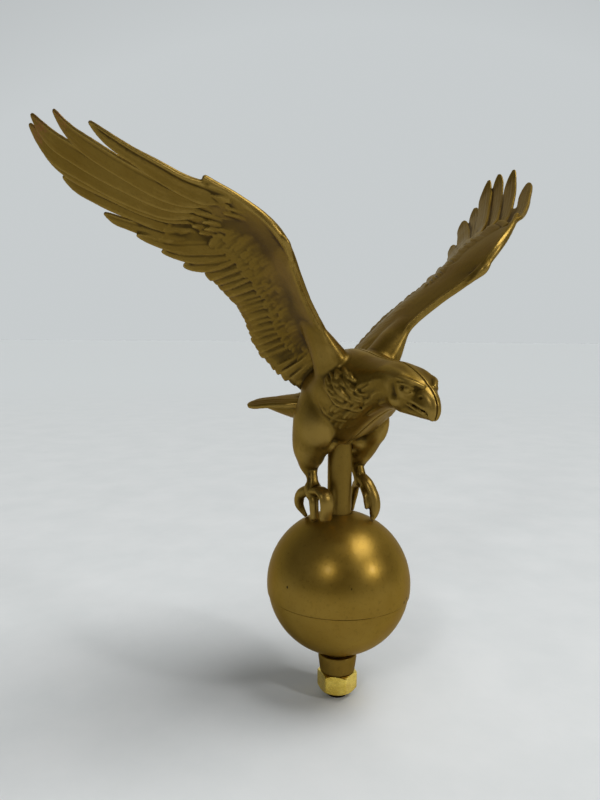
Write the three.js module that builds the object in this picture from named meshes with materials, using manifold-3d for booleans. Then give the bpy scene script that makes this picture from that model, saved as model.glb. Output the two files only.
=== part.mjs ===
// Eagle flagpole finial: a bird cast in two halves, clamped on a rod above a ball.
// Millimetres, +Z up. The bird faces -Y and its right wing is at -X.
// The origin is the middle of the flat end of the threaded stud.
import * as THREE from 'three';
import { mergeVertices } from 'three/addons/utils/BufferGeometryUtils.js';
import Module from 'manifold-3d';

const wasm = await Module();
wasm.setup();

// Driving dimensions
const BALL_RADIUS = 38.1;
const BALL_HEIGHT = 62.8;
const SEAM_DROP = 5.1;
const LIP_STEP = 0.45;
const NECK_RADIUS = 8.2;
const NECK_DROP = 0.7;
const ROD_RADIUS = 6.35;
const ROD_TOP = 111;
const FIT = 0.3;
const COLLAR_TOP_RADIUS = 10.3;
const COLLAR_FOOT_RADIUS = 9.3;
const COLLAR_LENGTH = 9.9;
const NUT_ACROSS_FLATS = 18.7;
const NUT_LENGTH = 10;
const NUT_TURN = THREE.MathUtils.degToRad(-34.5);
const THREAD_PITCH = 1.95;
const THREAD_DEPTH = 0.8;
const HALF_GAP = 0.3;
const SECONDARIES = 14;

const BALL_SIDES = 40;
const ROD_SIDES = 20;

const PAINT = { color: 0x7a6324, roughness: 0.42, metalness: 0.55 };
const BRASS = { color: 0xb9a032, roughness: 0.3, metalness: 1 };

// Heights below are measured from the middle of the ball
const ballFoot = -BALL_RADIUS;
const collarTop = ballFoot - NECK_DROP - FIT;
const collarFoot = collarTop - COLLAR_LENGTH;
const nutTop = collarFoot - FIT;
const nutFoot = nutTop - NUT_LENGTH;
const studEnd = -BALL_HEIGHT;
const BORE_RADIUS = ROD_RADIUS + FIT;

const point = (x, y, z) => new THREE.Vector3(x, y, z);

// Joining and cutting

function solidOf(geometry) {
  const bare = geometry.clone();
  bare.deleteAttribute('normal');
  bare.deleteAttribute('uv');
  const merged = mergeVertices(bare, 1e-4);
  const corners = merged.attributes.position;
  const faces = [];
  for (let i = 0; i < merged.index.count; i += 3) {
    const [a, b, c] = [0, 1, 2].map((k) => merged.index.getX(i + k));
    if (a !== b && b !== c && c !== a) faces.push(a, b, c);
  }
  if (signedVolume(corners, faces) < 0) {
    for (let i = 0; i < faces.length; i += 3) {
      [faces[i + 1], faces[i + 2]] = [faces[i + 2], faces[i + 1]];
    }
  }
  const vertProperties = new Float32Array(corners.array);
  const triVerts = new Uint32Array(faces);
  return new wasm.Manifold(new wasm.Mesh({ numProp: 3, vertProperties, triVerts }));
}

function signedVolume(corners, faces) {
  const [a, b, c] = [point(), point(), point()];
  let volume = 0;
  for (let i = 0; i < faces.length; i += 3) {
    a.fromBufferAttribute(corners, faces[i]);
    b.fromBufferAttribute(corners, faces[i + 1]);
    c.fromBufferAttribute(corners, faces[i + 2]);
    volume += a.dot(b.cross(c)) / 6;
  }
  return volume;
}

// An edge shorter than this is a leftover of joining, and is drawn to a point
const SPECK = 0.02;

function withoutSpecks(corners, faces) {
  const [a, b] = [point(), point()];
  const apart = (u, v) => a.fromArray(corners, 3 * u).distanceTo(b.fromArray(corners, 3 * v));
  let kept = faces;
  for (;;) {
    const around = new Map(kept.flat().map((corner) => [corner, new Set()]));
    for (const face of kept) {
      for (const corner of face) face.forEach((other) => around.get(corner).add(other));
    }
    // Drawing an edge to a point keeps the skin whole if only its own two faces join its ends
    const isPlain = (u, v) => [...around.get(u)].filter((other) => around.get(v).has(other)).length === 4;
    const edges = kept.flatMap(([i, j, k]) => [[i, j], [j, k], [k, i]]);
    const speck = edges.find(([u, v]) => apart(u, v) < SPECK && isPlain(u, v));
    if (!speck) return kept;
    const drawn = kept.map((face) => face.map((corner) => (corner === speck[1] ? speck[0] : corner)));
    kept = drawn.filter(([i, j, k]) => i !== j && j !== k && k !== i);
  }
}

function geometryOf(solid) {
  const mesh = solid.getMesh();
  const faces = [];
  for (let i = 0; i < mesh.triVerts.length; i += 3) faces.push([...mesh.triVerts.slice(i, i + 3)]);
  const geometry = new THREE.BufferGeometry();
  geometry.setAttribute('position', new THREE.Float32BufferAttribute(mesh.vertProperties, 3));
  geometry.setIndex(withoutSpecks(mesh.vertProperties, faces).flat());
  geometry.computeVertexNormals();
  return geometry;
}

const join = (solids) => solids.reduce((whole, next) => whole.add(next));

// A closed skin over rings of equal length. Its ends are capped round their middles.
function skin(rings) {
  const count = rings[0].length;
  const spots = rings.flat();
  const faces = [];
  for (let i = 0; i + 1 < rings.length; i++) {
    for (let j = 0; j < count; j++) {
      const a = i * count + j;
      const b = i * count + ((j + 1) % count);
      faces.push(a, b, b + count, a, b + count, a + count);
    }
  }
  const lastRing = spots.length - count;
  for (const start of [0, lastRing]) {
    const middle = spots.slice(start, start + count).reduce((sum, p) => sum.add(p), point(0, 0, 0));
    const hub = spots.push(middle.divideScalar(count)) - 1;
    for (let j = 0; j < count; j++) {
      const a = start + j;
      const b = start + ((j + 1) % count);
      faces.push(...(start === 0 ? [hub, b, a] : [hub, a, b]));
    }
  }
  const geometry = new THREE.BufferGeometry().setFromPoints(spots);
  geometry.setIndex(faces);
  return solidOf(geometry);
}

function ellipsoid(centre, radii, sides, rows) {
  const geometry = new THREE.SphereGeometry(1, sides, rows);
  geometry.scale(...radii);
  geometry.translate(...centre);
  return solidOf(geometry);
}

// A limb: an oval section swept along a smooth path. Each stop is [x, y, z, half width, half depth].
function limb(stops, steps, sides, across = point(1, 0, 0)) {
  const spine = stops.map(([x, y, z]) => point(x, y, z));
  const path = new THREE.CatmullRomCurve3(spine, false, 'centripetal');
  const rings = [];
  for (let i = 0; i <= steps; i++) {
    const t = i / steps;
    const span = t * (stops.length - 1);
    const k = Math.min(Math.floor(span), stops.length - 2);
    const wide = THREE.MathUtils.lerp(stops[k][3], stops[k + 1][3], span - k);
    const deep = THREE.MathUtils.lerp(stops[k][4], stops[k + 1][4], span - k);
    const ahead = path.getTangent(t);
    const side = across.clone().addScaledVector(ahead, -across.dot(ahead)).normalize();
    const up = ahead.clone().cross(side);
    const middle = path.getPoint(t);
    const ring = [];
    for (let j = 0; j < sides; j++) {
      const angle = (j / sides) * 2 * Math.PI;
      const spot = middle.clone().addScaledVector(side, wide * Math.cos(angle));
      ring.push(spot.addScaledVector(up, deep * Math.sin(angle)));
    }
    rings.push(ring);
  }
  return skin(rings);
}

// A value read from a smooth curve through evenly spaced numbers
function smooth(values, t) {
  const span = THREE.MathUtils.clamp(t, 0, 1) * (values.length - 1);
  const k = Math.min(Math.floor(span), values.length - 2);
  const at = (i) => values[THREE.MathUtils.clamp(i, 0, values.length - 1)];
  const u = span - k;
  const [a, b, c, d] = [at(k - 1), at(k), at(k + 1), at(k + 2)];
  return b + 0.5 * u * (c - a + u * (2 * a - 5 * b + 4 * c - d + u * (3 * (b - c) + d - a)));
}

// Trunk, neck and skull: stops are [y, top, bottom, half width, height of the widest line from 0 to 1]
const TRUNK = [
  [26, 105, 86, 9, 0.5],
  [14, 116.5, 81, 16.5, 0.5],
  [2, 121, 77, 19.5, 0.5],
  [-11, 124.4, 78, 21.5, 0.52],
  [-24, 123.2, 85.5, 20.5, 0.5],
  [-36, 120.8, 92.5, 15.5, 0.5],
  [-46, 119.8, 97, 12.2, 0.55],
  [-54, 119.2, 98, 10.8, 0.6],
  [-61, 117, 97.5, 10.2, 0.62],
  [-67, 114.2, 97, 9, 0.66],
  [-71.5, 111.6, 99, 6, 0.6],
];
const TRUNK_STEPS = 15;
const TRUNK_SIDES = 14;

function trunk() {
  const column = (k) => TRUNK.map((row) => row[k]);
  const rings = [];
  for (let i = 0; i <= TRUNK_STEPS; i++) {
    const t = i / TRUNK_STEPS;
    const [y, top, bottom, half, rise] = [0, 1, 2, 3, 4].map((k) => smooth(column(k), t));
    const middle = bottom + (top - bottom) * rise;
    const ring = [];
    for (let j = 0; j < TRUNK_SIDES; j++) {
      const angle = (j / TRUNK_SIDES) * 2 * Math.PI;
      const height = Math.sin(angle) > 0 ? top - middle : middle - bottom;
      ring.push(point(half * Math.cos(angle), y, middle + height * Math.sin(angle)));
    }
    rings.push(ring);
  }
  return skin(rings);
}

// Head: hooked upper beak, lower beak, brow ridge, cheek and eye
function head() {
  const upperBeak = limb([
    [0, -66, 106.5, 7.2, 6.4],
    [0, -71.5, 105, 5.6, 5.4],
    [0, -75.6, 102.2, 4.2, 4.2],
    [0, -77.6, 98.8, 3, 2.8],
    [0, -77.8, 95.6, 1.3, 1.2],
  ], 7, 10);
  const lowerBeak = limb([
    [0, -60, 99.6, 6.2, 2.8],
    [0, -67, 98.2, 4.6, 2.2],
    [0, -72, 97.2, 3.4, 1.7],
    [0, -75.4, 96.6, 2, 1.1],
  ], 5, 8);
  const brow = limb([
    [8.2, -50, 112, 1.4, 1.2],
    [9.4, -58, 113, 2.8, 2],
    [8.9, -65, 111.9, 3, 2.1],
    [5.6, -70, 110.2, 2.4, 1.8],
  ], 6, 7);
  const cheek = ellipsoid([5, -60, 103], [5.4, 7.5, 4.6], 10, 6);
  const eye = ellipsoid([8.6, -65.8, 108.2], [1.6, 2.2, 2], 8, 5);
  return join([upperBeak, lowerBeak, brow, cheek, eye]);
}

// The open line of the mouth, cut from the corner round to the tip
function mouth() {
  return limb([
    [10, -62.2, 103.8, 2.5, 0.7],
    [7, -66, 102.3, 2.5, 0.8],
    [5.2, -71, 100.2, 2.6, 0.8],
    [4.6, -75, 98, 2.6, 0.7],
    [4.4, -78.5, 95.4, 2.6, 0.5],
  ], 8, 6);
}

// Leg: thigh, shank and toes. Toe stops lie on the ball's top.
const LEG = [
  [13, -2, 98, 9, 16],
  [16, -1, 87, 9, 16.4],
  [15.8, 4, 75.6, 8.6, 12],
  [14.7, 6, 67, 7.2, 8.8],
  [14.5, 6.4, 61.4, 4.8, 5.4],
  [14, 4.8, 57, 3.1, 3.4],
  [14.4, 3, 53, 3.8, 4],
  [14.4, 2.4, 48.8, 4.6, 4.4],
];
const RIGHT_TOES = [
  [[14, 0, 50, 4.4, 2.8], [13.6, -6.2, 51, 4.2, 2.4], [13.2, -10, 46, 4, 2.2], [13, -8.8, 37, 3.6, 1.5]],
  [[15, 2, 49, 3, 3], [15.6, 0.5, 46, 3, 2.6], [15.2, 1, 36, 2.6, 1.9]],
  [[15.5, 4, 50, 3, 3], [17.4, 11.2, 46, 2.8, 2.8], [16.8, 13.6, 40, 2.4, 2.5], [14, 11.6, 35, 1.2, 1.2]],
];
const LEFT_TOES = [
  [[14.8, 2.2, 53.4, 3.4, 3.4], [15.8, -3.8, 51, 3.4, 3.1], [16.9, -7.2, 44.6, 3.4, 2.9],
    [16.4, -8.8, 38.6, 2.9, 2.4], [14.4, -10.4, 34, 1.3, 1.2]],
  [[13.6, 0, 49.6, 2.2, 2.2], [12.4, -4.8, 45, 1.7, 1.7], [12, -6, 38, 1.2, 1.2]],
  [[14.6, 5, 51, 3, 3], [14.4, 12, 50, 2.4, 2.4], [13.6, 15.5, 43, 2, 2.1], [12.6, 14.4, 34.4, 1, 1]],
];

function leg(toes) {
  return join([limb(LEG, 11, 9), ...toes.map((stops) => limb(stops, 2 * stops.length - 2, 6))]);
}

// Tail: a fan of feathers over a thick wedge. Stops are [y, half width, top, bottom, rim height].
const TAIL = [
  [10, 12, 107, 80, 93],
  [20, 14, 103, 80.8, 92.4],
  [31, 20, 99.6, 81.6, 92],
  [40, 27.5, 97, 83.6, 92],
  [46, 30, 94.6, 88, 92],
];
const TAIL_TIPS = [[5, 50.5, 91.6], [14.5, 50.5, 91.9], [24.5, 48.6, 92.2], [34, 44.5, 92.4]];
const TAIL_FACE = [1, 0.66, 0.33, 0, -0.33, -0.66];
const TAIL_ROOT = { x: 2, y: 20, z: 98.6, spread: 2.8, fall: 1.4, lean: 0.15 };

function tail() {
  const wedge = skin(TAIL.map(([y, half, top, bottom, rim]) => {
    const onFace = (u, face) => point(u * half, y, rim + (face - rim) * (1 - u * u));
    return [...TAIL_FACE.map((u) => onFace(u, top)), ...TAIL_FACE.map((u) => onFace(-u, bottom))];
  }));
  const feathers = TAIL_TIPS.map(([x, y, z], k) => feather({
    root: point(TAIL_ROOT.x + TAIL_ROOT.spread * k, TAIL_ROOT.y, TAIL_ROOT.z - TAIL_ROOT.fall * k),
    tip: point(x, y, z),
    lift: point(TAIL_ROOT.lean * k, TAIL_ROOT.lean, 1),
    half: 6.4,
    thick: 2,
    bow: 1.2,
    blunt: 0.85,
  }));
  return join([wedge, ...feathers]);
}

// A feather's half width along its length, as a share of its widest: it flares from the quill,
// narrows by its bluntness and ends in an oval tip
const QUILL_WIDTH = 0.55;
const FLARE_END = 0.3;
const TIP_START = 0.55;
const TIP_WIDTH = 0.17;
const TIP_THINNING = 0.55;
const FEATHER_STOPS = [0, 0.35, 0.62, 0.82, 0.94, 1];
const FEATHER_SECTION = [[1, 0], [0.3, 0.9], [-0.2, 0.95], [-1, 0], [-0.2, -0.9], [0.3, -0.8]];

function featherWidth(t, blunt) {
  const flare = QUILL_WIDTH + (1 - QUILL_WIDTH) * Math.min(1, t / FLARE_END);
  const taper = 1 - (1 - blunt) * t;
  const beyond = Math.max(0, (t - TIP_START) / (1 - TIP_START));
  return flare * taper * Math.max(TIP_WIDTH, Math.sqrt(1 - beyond ** 2));
}

// One feather: a thin blade from root to tip. lift is the way its face looks, and bow is how far
// its middle stands off the straight line.
function feather({ root, tip, lift, half, thick, bow, blunt }) {
  const line = tip.clone().sub(root);
  const ahead = line.clone().normalize();
  const side = lift.clone().cross(ahead).normalize();
  const up = ahead.clone().cross(side);
  return skin(FEATHER_STOPS.map((t) => {
    const wide = half * featherWidth(t, blunt);
    const high = thick * (1 - TIP_THINNING * t);
    const middle = root.clone().addScaledVector(line, t).addScaledVector(up, 4 * bow * t * (1 - t));
    return FEATHER_SECTION.map(
      ([a, b]) => middle.clone().addScaledVector(side, wide * a).addScaledVector(up, high * b),
    );
  }));
}

// Wing: its front and back edges from the trunk out to the hand
const FRONT_EDGE = [
  [8, -20, 120], [19.8, -26.2, 127.5], [23.8, -26.2, 133], [28, -27.8, 138], [37.6, -34.8, 148],
  [48.4, -46, 159.5], [54.6, -50, 168.6], [62, -49.5, 177], [72.6, -44.3, 185.4], [85, -36, 193],
  [97, -27.5, 199],
];
const BACK_EDGE = [
  [6, 14, 96], [19, 22, 105.5], [24.5, 38, 115], [33, 38, 125], [43, 28, 140],
  [55, 22, 151.5], [65.4, 21.6, 159], [75, 25.5, 165], [84.6, 30, 171], [93, 33, 176],
  [101, 37, 181],
];
const EDGE_INSET = 1.6;
const SPAN_STEP = 0.03;

// Across the chord the wing is a thick rounded arm in front and thin feathers behind
const ARM_HALF = 2.3;
const ARM_THINNING = 0.8;
const ARM_FALL = 1.7;
const BLADE_HALF = 0.7;
const WING_ARCH = 4.2;
const HAND_START = 0.85;
const HAND_THINNING = 0.85;

// Each long feather laps the next by a step, and the short ones over them end at the covert edge
const COVERT_EDGE = 0.5;
const LAP_STEP = 0.75;
const LAP_SCALLOP = 0.015;
const ACROSS = [0, 0.05, 0.18, COVERT_EDGE - 0.02, COVERT_EDGE + 0.02, 0.78, 1];

function onEdge(edge, t) {
  return point(...[0, 1, 2].map((k) => smooth(edge.map((row) => row[k]), t)));
}

// The wing's frame at t along the span: its edge points and the way its upper face looks
function wingFrame(t) {
  const front = onEdge(FRONT_EDGE, t);
  const back = onEdge(BACK_EDGE, t);
  const chord = back.clone().sub(front);
  front.addScaledVector(chord, EDGE_INSET / chord.length());
  chord.subVectors(back, front);
  const outward = onEdge(FRONT_EDGE, t + SPAN_STEP).add(onEdge(BACK_EDGE, t + SPAN_STEP));
  outward.sub(onEdge(FRONT_EDGE, t - SPAN_STEP)).sub(onEdge(BACK_EDGE, t - SPAN_STEP));
  const up = outward.cross(chord).normalize();
  return { front, chord, up };
}

// Half the wing's thickness, at c across the chord and t along the span
function wingHalf(c, t) {
  const thick = BLADE_HALF + (ARM_HALF - ARM_THINNING * t) * (1 - c) ** ARM_FALL;
  const nose = Math.min(1, 0.25 + Math.sqrt(c * 5));
  return thick * nose * (1 - HAND_THINNING * THREE.MathUtils.smoothstep(t, HAND_START, 1));
}

const wingArch = (c) => WING_ARCH * Math.sin(Math.PI * Math.min(1, c * 1.1)) ** 1.2;

// How far a face stands proud where one feather laps the next
function lap(c, onTop) {
  if (c > COVERT_EDGE) return onTop ? 0 : -LAP_STEP;
  return onTop && c > ACROSS[2] ? 0.3 * LAP_STEP : 0;
}

function wingPanel() {
  const steps = 2 * SECONDARIES;
  const rings = [];
  for (let i = 0; i <= steps; i++) {
    const t = i / steps;
    const onTop = i % 2 === 0;
    const { front, chord, up } = wingFrame(t);
    const place = (c, face) => {
      const high = wingArch(c) + face * (wingHalf(c, t) + lap(c, onTop));
      const run = c < 1 ? c : 1 + (onTop ? -LAP_SCALLOP : LAP_SCALLOP);
      return front.clone().addScaledVector(chord, run).addScaledVector(up, high);
    };
    const upper = ACROSS.map((c) => place(c, 1));
    const lower = ACROSS.slice(1).reverse().map((c) => place(c, -1));
    rings.push([...upper, ...lower]);
  }
  return skin(rings);
}

// Long outer feathers, from the front edge backwards
const PRIMARIES = [
  { tip: [123.6, -1, 219.2], from: 0.1, half: 5, bow: -2.4 },
  { tip: [135, 22.5, 231], from: 0.2, half: 6.6, bow: -3.4 },
  { tip: [142.4, 43.5, 234.4], from: 0.3, half: 7, bow: -3.8 },
  { tip: [142.5, 52.9, 231.4], from: 0.4, half: 8.5, bow: -3.6 },
  { tip: [135.7, 58, 218.7], from: 0.5, half: 9.2, bow: -2.6 },
  { tip: [127.2, 59.7, 208.8], from: 0.6, half: 8.8, bow: -1.8 },
  { tip: [109.5, 48.5, 190.6], from: 0.72, half: 8, bow: -1 },
];
const PRIMARY_HALF = 1.4;
const HAND = 0.8;
const ALULA = [
  [55, -44, 167.5, 2.4, 2.4],
  [65, -43, 177.4, 3, 3],
  [74.6, -39.4, 186, 3, 2.8],
  [84, -33.8, 193.6, 1.6, 1.3],
];
const SHOULDER = [
  [9, -14, 110, 11, 13],
  [15.6, -15, 120, 8, 11.4],
  [22, -15, 130, 4.8, 10.4],
  [27.6, -16, 138, 2, 8],
];

function wing(tipLift, first) {
  const { front, chord, up } = wingFrame(HAND);
  const row = [{ ...PRIMARIES[0], ...first }, ...PRIMARIES.slice(1)];
  const feathers = row.map(({ tip: [x, y, z], from, half, bow }, k) => feather({
    root: front.clone().addScaledVector(chord, from).addScaledVector(up, wingArch(from)),
    tip: point(x, y, z + tipLift[k]),
    lift: up,
    half,
    thick: PRIMARY_HALF,
    bow,
    blunt: 0.8,
  }));
  return join([wingPanel(), limb(ALULA, 6, 7), limb(SHOULDER, 5, 12, point(1, 0, -1)), ...feathers]);
}

// The square boss under the belly that the rod enters
const BOSS = { width: 17, depth: 19, height: 13, y: 0.5, z: 78.5 };

function boss() {
  const block = new THREE.BoxGeometry(BOSS.width, BOSS.depth, BOSS.height);
  block.translate(0, BOSS.y, BOSS.z);
  return solidOf(block);
}

function rodBore() {
  const hole = new THREE.CylinderGeometry(BORE_RADIUS, BORE_RADIUS, ROD_TOP + FIT, ROD_SIDES);
  hole.rotateX(Math.PI / 2);
  hole.translate(0, 0, (ROD_TOP + FIT) / 2);
  return solidOf(hole);
}

function ballClearance() {
  const room = new THREE.SphereGeometry(BALL_RADIUS + FIT, BALL_SIDES, BALL_SIDES / 2);
  room.rotateX(Math.PI / 2);
  return solidOf(room);
}

// The two castings are near mirror images. Their toes and the height of some feather tips differ.
const RIGHT = {
  side: -1,
  toes: RIGHT_TOES,
  tipLift: [0, -2.4, -2.8, -1.6, 0, 0, 0],
  first: {},
};
const LEFT = {
  side: 1,
  toes: LEFT_TOES,
  tipLift: [0, 2.4, 2.6, 3, -1.9, -1.3, -1.9],
  first: { from: 0.05, half: 6.2, bow: -1.6 },
};
const REACH = 400;

function eagleHalf({ side, toes, tipLift, first }) {
  const whole = join([trunk(), head(), leg(toes), tail(), wing(tipLift, first), boss()]);
  const keep = new THREE.BoxGeometry(REACH, REACH, REACH);
  keep.translate(REACH / 2 + HALF_GAP, 0, REACH / 2);
  const half = whole.intersect(solidOf(keep));
  const geometry = geometryOf(half.subtract(mouth()).subtract(rodBore()).subtract(ballClearance()));
  if (side < 0) {
    geometry.scale(-1, 1, 1);
    geometry.setIndex([...geometry.index.array].reverse());
  }
  return geometry;
}

// Turned parts: each profile is a closed loop of [radius, height]
function turned(profile, sides) {
  const loop = [...profile, profile[0]].map(([r, z]) => new THREE.Vector2(r, z));
  const geometry = new THREE.LatheGeometry(loop, sides);
  geometry.rotateX(Math.PI / 2);
  return geometryOf(solidOf(geometry));
}

function ballArc(radius, fromHeight, toHeight, steps) {
  const [a, b] = [fromHeight, toHeight].map((h) => Math.asin(h / radius));
  return Array.from({ length: steps + 1 }, (_, i) => {
    const angle = a + ((b - a) * i) / steps;
    return [radius * Math.cos(angle), radius * Math.sin(angle)];
  });
}

function ballUpper() {
  const top = Math.sqrt(BALL_RADIUS ** 2 - BORE_RADIUS ** 2);
  const arc = ballArc(BALL_RADIUS, -SEAM_DROP, top, 10);
  return turned([[BORE_RADIUS, -SEAM_DROP], ...arc], BALL_SIDES);
}

function ballLower() {
  const radius = BALL_RADIUS - LIP_STEP;
  const neckTop = -Math.sqrt(radius ** 2 - NECK_RADIUS ** 2);
  const neckFoot = ballFoot - NECK_DROP;
  const rim = -SEAM_DROP - FIT;
  const arc = ballArc(radius, neckTop, rim, 8);
  return turned([[BORE_RADIUS, neckFoot], [NECK_RADIUS, neckFoot], ...arc, [BORE_RADIUS, rim]], BALL_SIDES);
}

function spindleRod() {
  const lead = 1;
  const threadTop = nutTop - lead;
  const turns = Math.floor((threadTop - studEnd - lead) / THREAD_PITCH);
  const profile = [[0, studEnd], [ROD_RADIUS - lead, studEnd]];
  for (let i = 0; i < turns; i++) {
    const root = studEnd + lead + i * THREAD_PITCH;
    profile.push([ROD_RADIUS - THREAD_DEPTH, root], [ROD_RADIUS, root + THREAD_PITCH / 2]);
  }
  profile.push([ROD_RADIUS, threadTop], [ROD_RADIUS, ROD_TOP], [0, ROD_TOP]);
  return turned(profile, ROD_SIDES);
}

function lowerCollar() {
  const soft = 0.5;
  const shoulderDrop = 2.5;
  return turned([
    [BORE_RADIUS, collarFoot],
    [COLLAR_FOOT_RADIUS - soft, collarFoot],
    [COLLAR_FOOT_RADIUS, collarFoot + soft],
    [COLLAR_TOP_RADIUS, collarTop - shoulderDrop],
    [COLLAR_TOP_RADIUS, collarTop - soft],
    [COLLAR_TOP_RADIUS - soft, collarTop],
    [BORE_RADIUS, collarTop],
  ], 28);
}

// A hexagon with its corners turned off by a cone at each end
function hexNut() {
  const corner = NUT_ACROSS_FLATS / Math.sqrt(3);
  const face = NUT_ACROSS_FLATS / 2 - 0.1;
  const slope = 1.1;
  const prism = new THREE.CylinderGeometry(corner, corner, NUT_LENGTH, 6);
  prism.rotateX(Math.PI / 2);
  prism.rotateZ(NUT_TURN);
  prism.translate(0, 0, nutTop - NUT_LENGTH / 2);
  const cone = turned([
    [BORE_RADIUS, nutFoot],
    [face, nutFoot],
    [corner + FIT, nutFoot + slope],
    [corner + FIT, nutTop - slope],
    [face, nutTop],
    [BORE_RADIUS, nutTop],
  ], 30);
  return geometryOf(solidOf(prism).intersect(solidOf(cone)));
}

const finial = new THREE.Group();

function place(name, geometry, finish) {
  const mesh = new THREE.Mesh(geometry, new THREE.MeshStandardMaterial(finish));
  mesh.name = name;
  mesh.position.set(0, 0, BALL_HEIGHT);
  finial.add(mesh);
}

place('eagle_right_half', eagleHalf(RIGHT), PAINT);
place('eagle_left_half', eagleHalf(LEFT), PAINT);
place('spindle_rod', spindleRod(), PAINT);
place('ball_upper_half', ballUpper(), PAINT);
place('ball_lower_half', ballLower(), PAINT);
place('lower_collar', lowerCollar(), PAINT);
place('hex_nut', hexNut(), BRASS);

export default finial;
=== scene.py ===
"""Looks of the eagle flagpole finial.

Shapes are made in millimetres from the middle of the ball, with the bird facing -Y. stand() turns them into
metres above the end of the threaded stud. Each casting is built as the bird's left half, at +X, and mirrored
for the right one.
"""

import math

import bmesh
import bpy
import numpy as np
from mathutils import Matrix, Vector

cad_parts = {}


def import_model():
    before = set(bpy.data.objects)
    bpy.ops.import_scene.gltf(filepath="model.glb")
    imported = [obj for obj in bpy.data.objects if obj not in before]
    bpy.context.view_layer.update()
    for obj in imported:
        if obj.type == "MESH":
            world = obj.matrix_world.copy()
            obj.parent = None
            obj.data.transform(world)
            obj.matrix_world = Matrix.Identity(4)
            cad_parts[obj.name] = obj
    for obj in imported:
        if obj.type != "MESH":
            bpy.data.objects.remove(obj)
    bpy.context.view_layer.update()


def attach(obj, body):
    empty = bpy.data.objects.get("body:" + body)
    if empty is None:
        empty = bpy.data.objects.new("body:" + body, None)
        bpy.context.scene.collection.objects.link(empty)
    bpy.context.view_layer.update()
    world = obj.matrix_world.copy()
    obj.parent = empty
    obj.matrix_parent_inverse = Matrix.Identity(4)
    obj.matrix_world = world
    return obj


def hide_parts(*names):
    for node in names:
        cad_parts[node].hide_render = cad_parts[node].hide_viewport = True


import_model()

MM = 0.001
BALL_RADIUS = 38.1
BALL_HEIGHT = 62.8
SEAM_DROP = 5.1
LIP_STEP = 0.45
NECK_RADIUS = 8.2
NECK_DROP = 0.7
ROD_RADIUS = 6.35
ROD_TOP = 111
FIT = 0.3
COLLAR_TOP_RADIUS = 10.3
COLLAR_FOOT_RADIUS = 9.3
COLLAR_LENGTH = 9.9
NUT_ACROSS_FLATS = 18.7
NUT_LENGTH = 10
NUT_TURN = math.radians(-34.5)
SHARP = math.radians(35)
THREAD_PITCH = 1.95
THREAD_DEPTH = 0.8
HALF_GAP = 0.3
# The block that cuts a casting off at its inner face
BEYOND = ((-200, -200, -50), (HALF_GAP, 200, 300))

BORE_RADIUS = ROD_RADIUS + FIT
COLLAR_TOP = -BALL_RADIUS - NECK_DROP - FIT
COLLAR_FOOT = COLLAR_TOP - COLLAR_LENGTH
NUT_TOP = COLLAR_FOOT - FIT
NUT_FOOT = NUT_TOP - NUT_LENGTH
STUD_END = -BALL_HEIGHT

# Fineness of the castings
FORM_VOXEL = 0.55
BLEND_ROUNDS = 40
EDGE_ROUNDS = 8
VOXEL = 0.42
CASTING_FACES = 190000
RELIEF_REACH = 12
RELIEF_DEPTH = 0.34


# Curves and skins


def smooth(values, t):
    """Values read from a smooth curve through evenly spaced numbers or rows."""
    values = np.asarray(values, float)
    t = np.clip(np.asarray(t, float), 0, 1)
    last = len(values) - 1
    k = np.minimum((t * last).astype(int), last - 1)
    u = t * last - k
    a, b, c, d = (values[np.clip(k + i, 0, last)] for i in (-1, 0, 1, 2))
    u = u.reshape(u.shape + (1,) * (values.ndim - 1))
    return b + 0.5 * u * (c - a + u * (2 * a - 5 * b + 4 * c - d + u * (3 * (b - c) + d - a)))


def unit(vectors):
    return vectors / np.linalg.norm(vectors, axis=-1, keepdims=True)


def alike(*values):
    """Numbers and arrays brought to one shape."""
    return np.broadcast_arrays(*(np.asarray(value, float) for value in values))


def all_round(sides):
    """Evenly spaced angles, once round."""
    return np.linspace(0, 2 * np.pi, sides, endpoint=False)


def ring(radius, z, sides):
    """Points round the upright axis."""
    angle = all_round(sides)
    return np.stack([radius * np.cos(angle), radius * np.sin(angle), np.full(sides, z)], 1)


def ease(t, start, end):
    """Rises smoothly from 0 at start to 1 at end."""
    u = np.clip((np.asarray(t, float) - start) / (end - start), 0, 1)
    return u * u * (3 - 2 * u)


def path(stops, count):
    """Points on a centripetal curve through the stops."""
    p = np.asarray(stops, float)
    p = np.concatenate([[2 * p[0] - p[1]], p, [2 * p[-1] - p[-2]]])
    gaps = np.sqrt(np.linalg.norm(np.diff(p, axis=0), axis=1))
    spans = len(p) - 3
    spots = []
    for t in np.linspace(0, spans, count):
        k = min(int(t), spans - 1)
        u = t - k
        (a, b, c, d), (ab, bc, cd) = p[k:k + 4], gaps[k:k + 3]
        start = ((b - a) / ab - (c - a) / (ab + bc) + (c - b) / bc) * bc
        end = ((c - b) / bc - (d - b) / (bc + cd) + (d - c) / cd) * bc
        curve = (2 * b - 2 * c + start + end) * u + (-3 * b + 3 * c - 2 * start - end)
        spots.append(b + u * (start + u * curve))
    return np.array(spots)


def skin(rings):
    """A closed skin over rings of equal length, its ends capped round their middles."""
    rows, count = rings.shape[:2]
    points = np.concatenate([rings.reshape(-1, 3), [rings[0].mean(0), rings[-1].mean(0)]])
    j = np.arange(count)
    k = (j + 1) % count
    faces = []
    for row in range(rows - 1):
        low, high = row * count, (row + 1) * count
        faces += np.stack([low + j, low + k, high + k, high + j], 1).tolist()
    last = (rows - 1) * count
    first_hub, last_hub = rows * count, rows * count + 1
    faces += [[first_hub, b, a] for a, b in zip(j.tolist(), k.tolist())]
    faces += [[last_hub, last + a, last + b] for a, b in zip(j.tolist(), k.tolist())]
    return points, faces


DOME = np.radians([30, 55, 75])[:, None]


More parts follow.
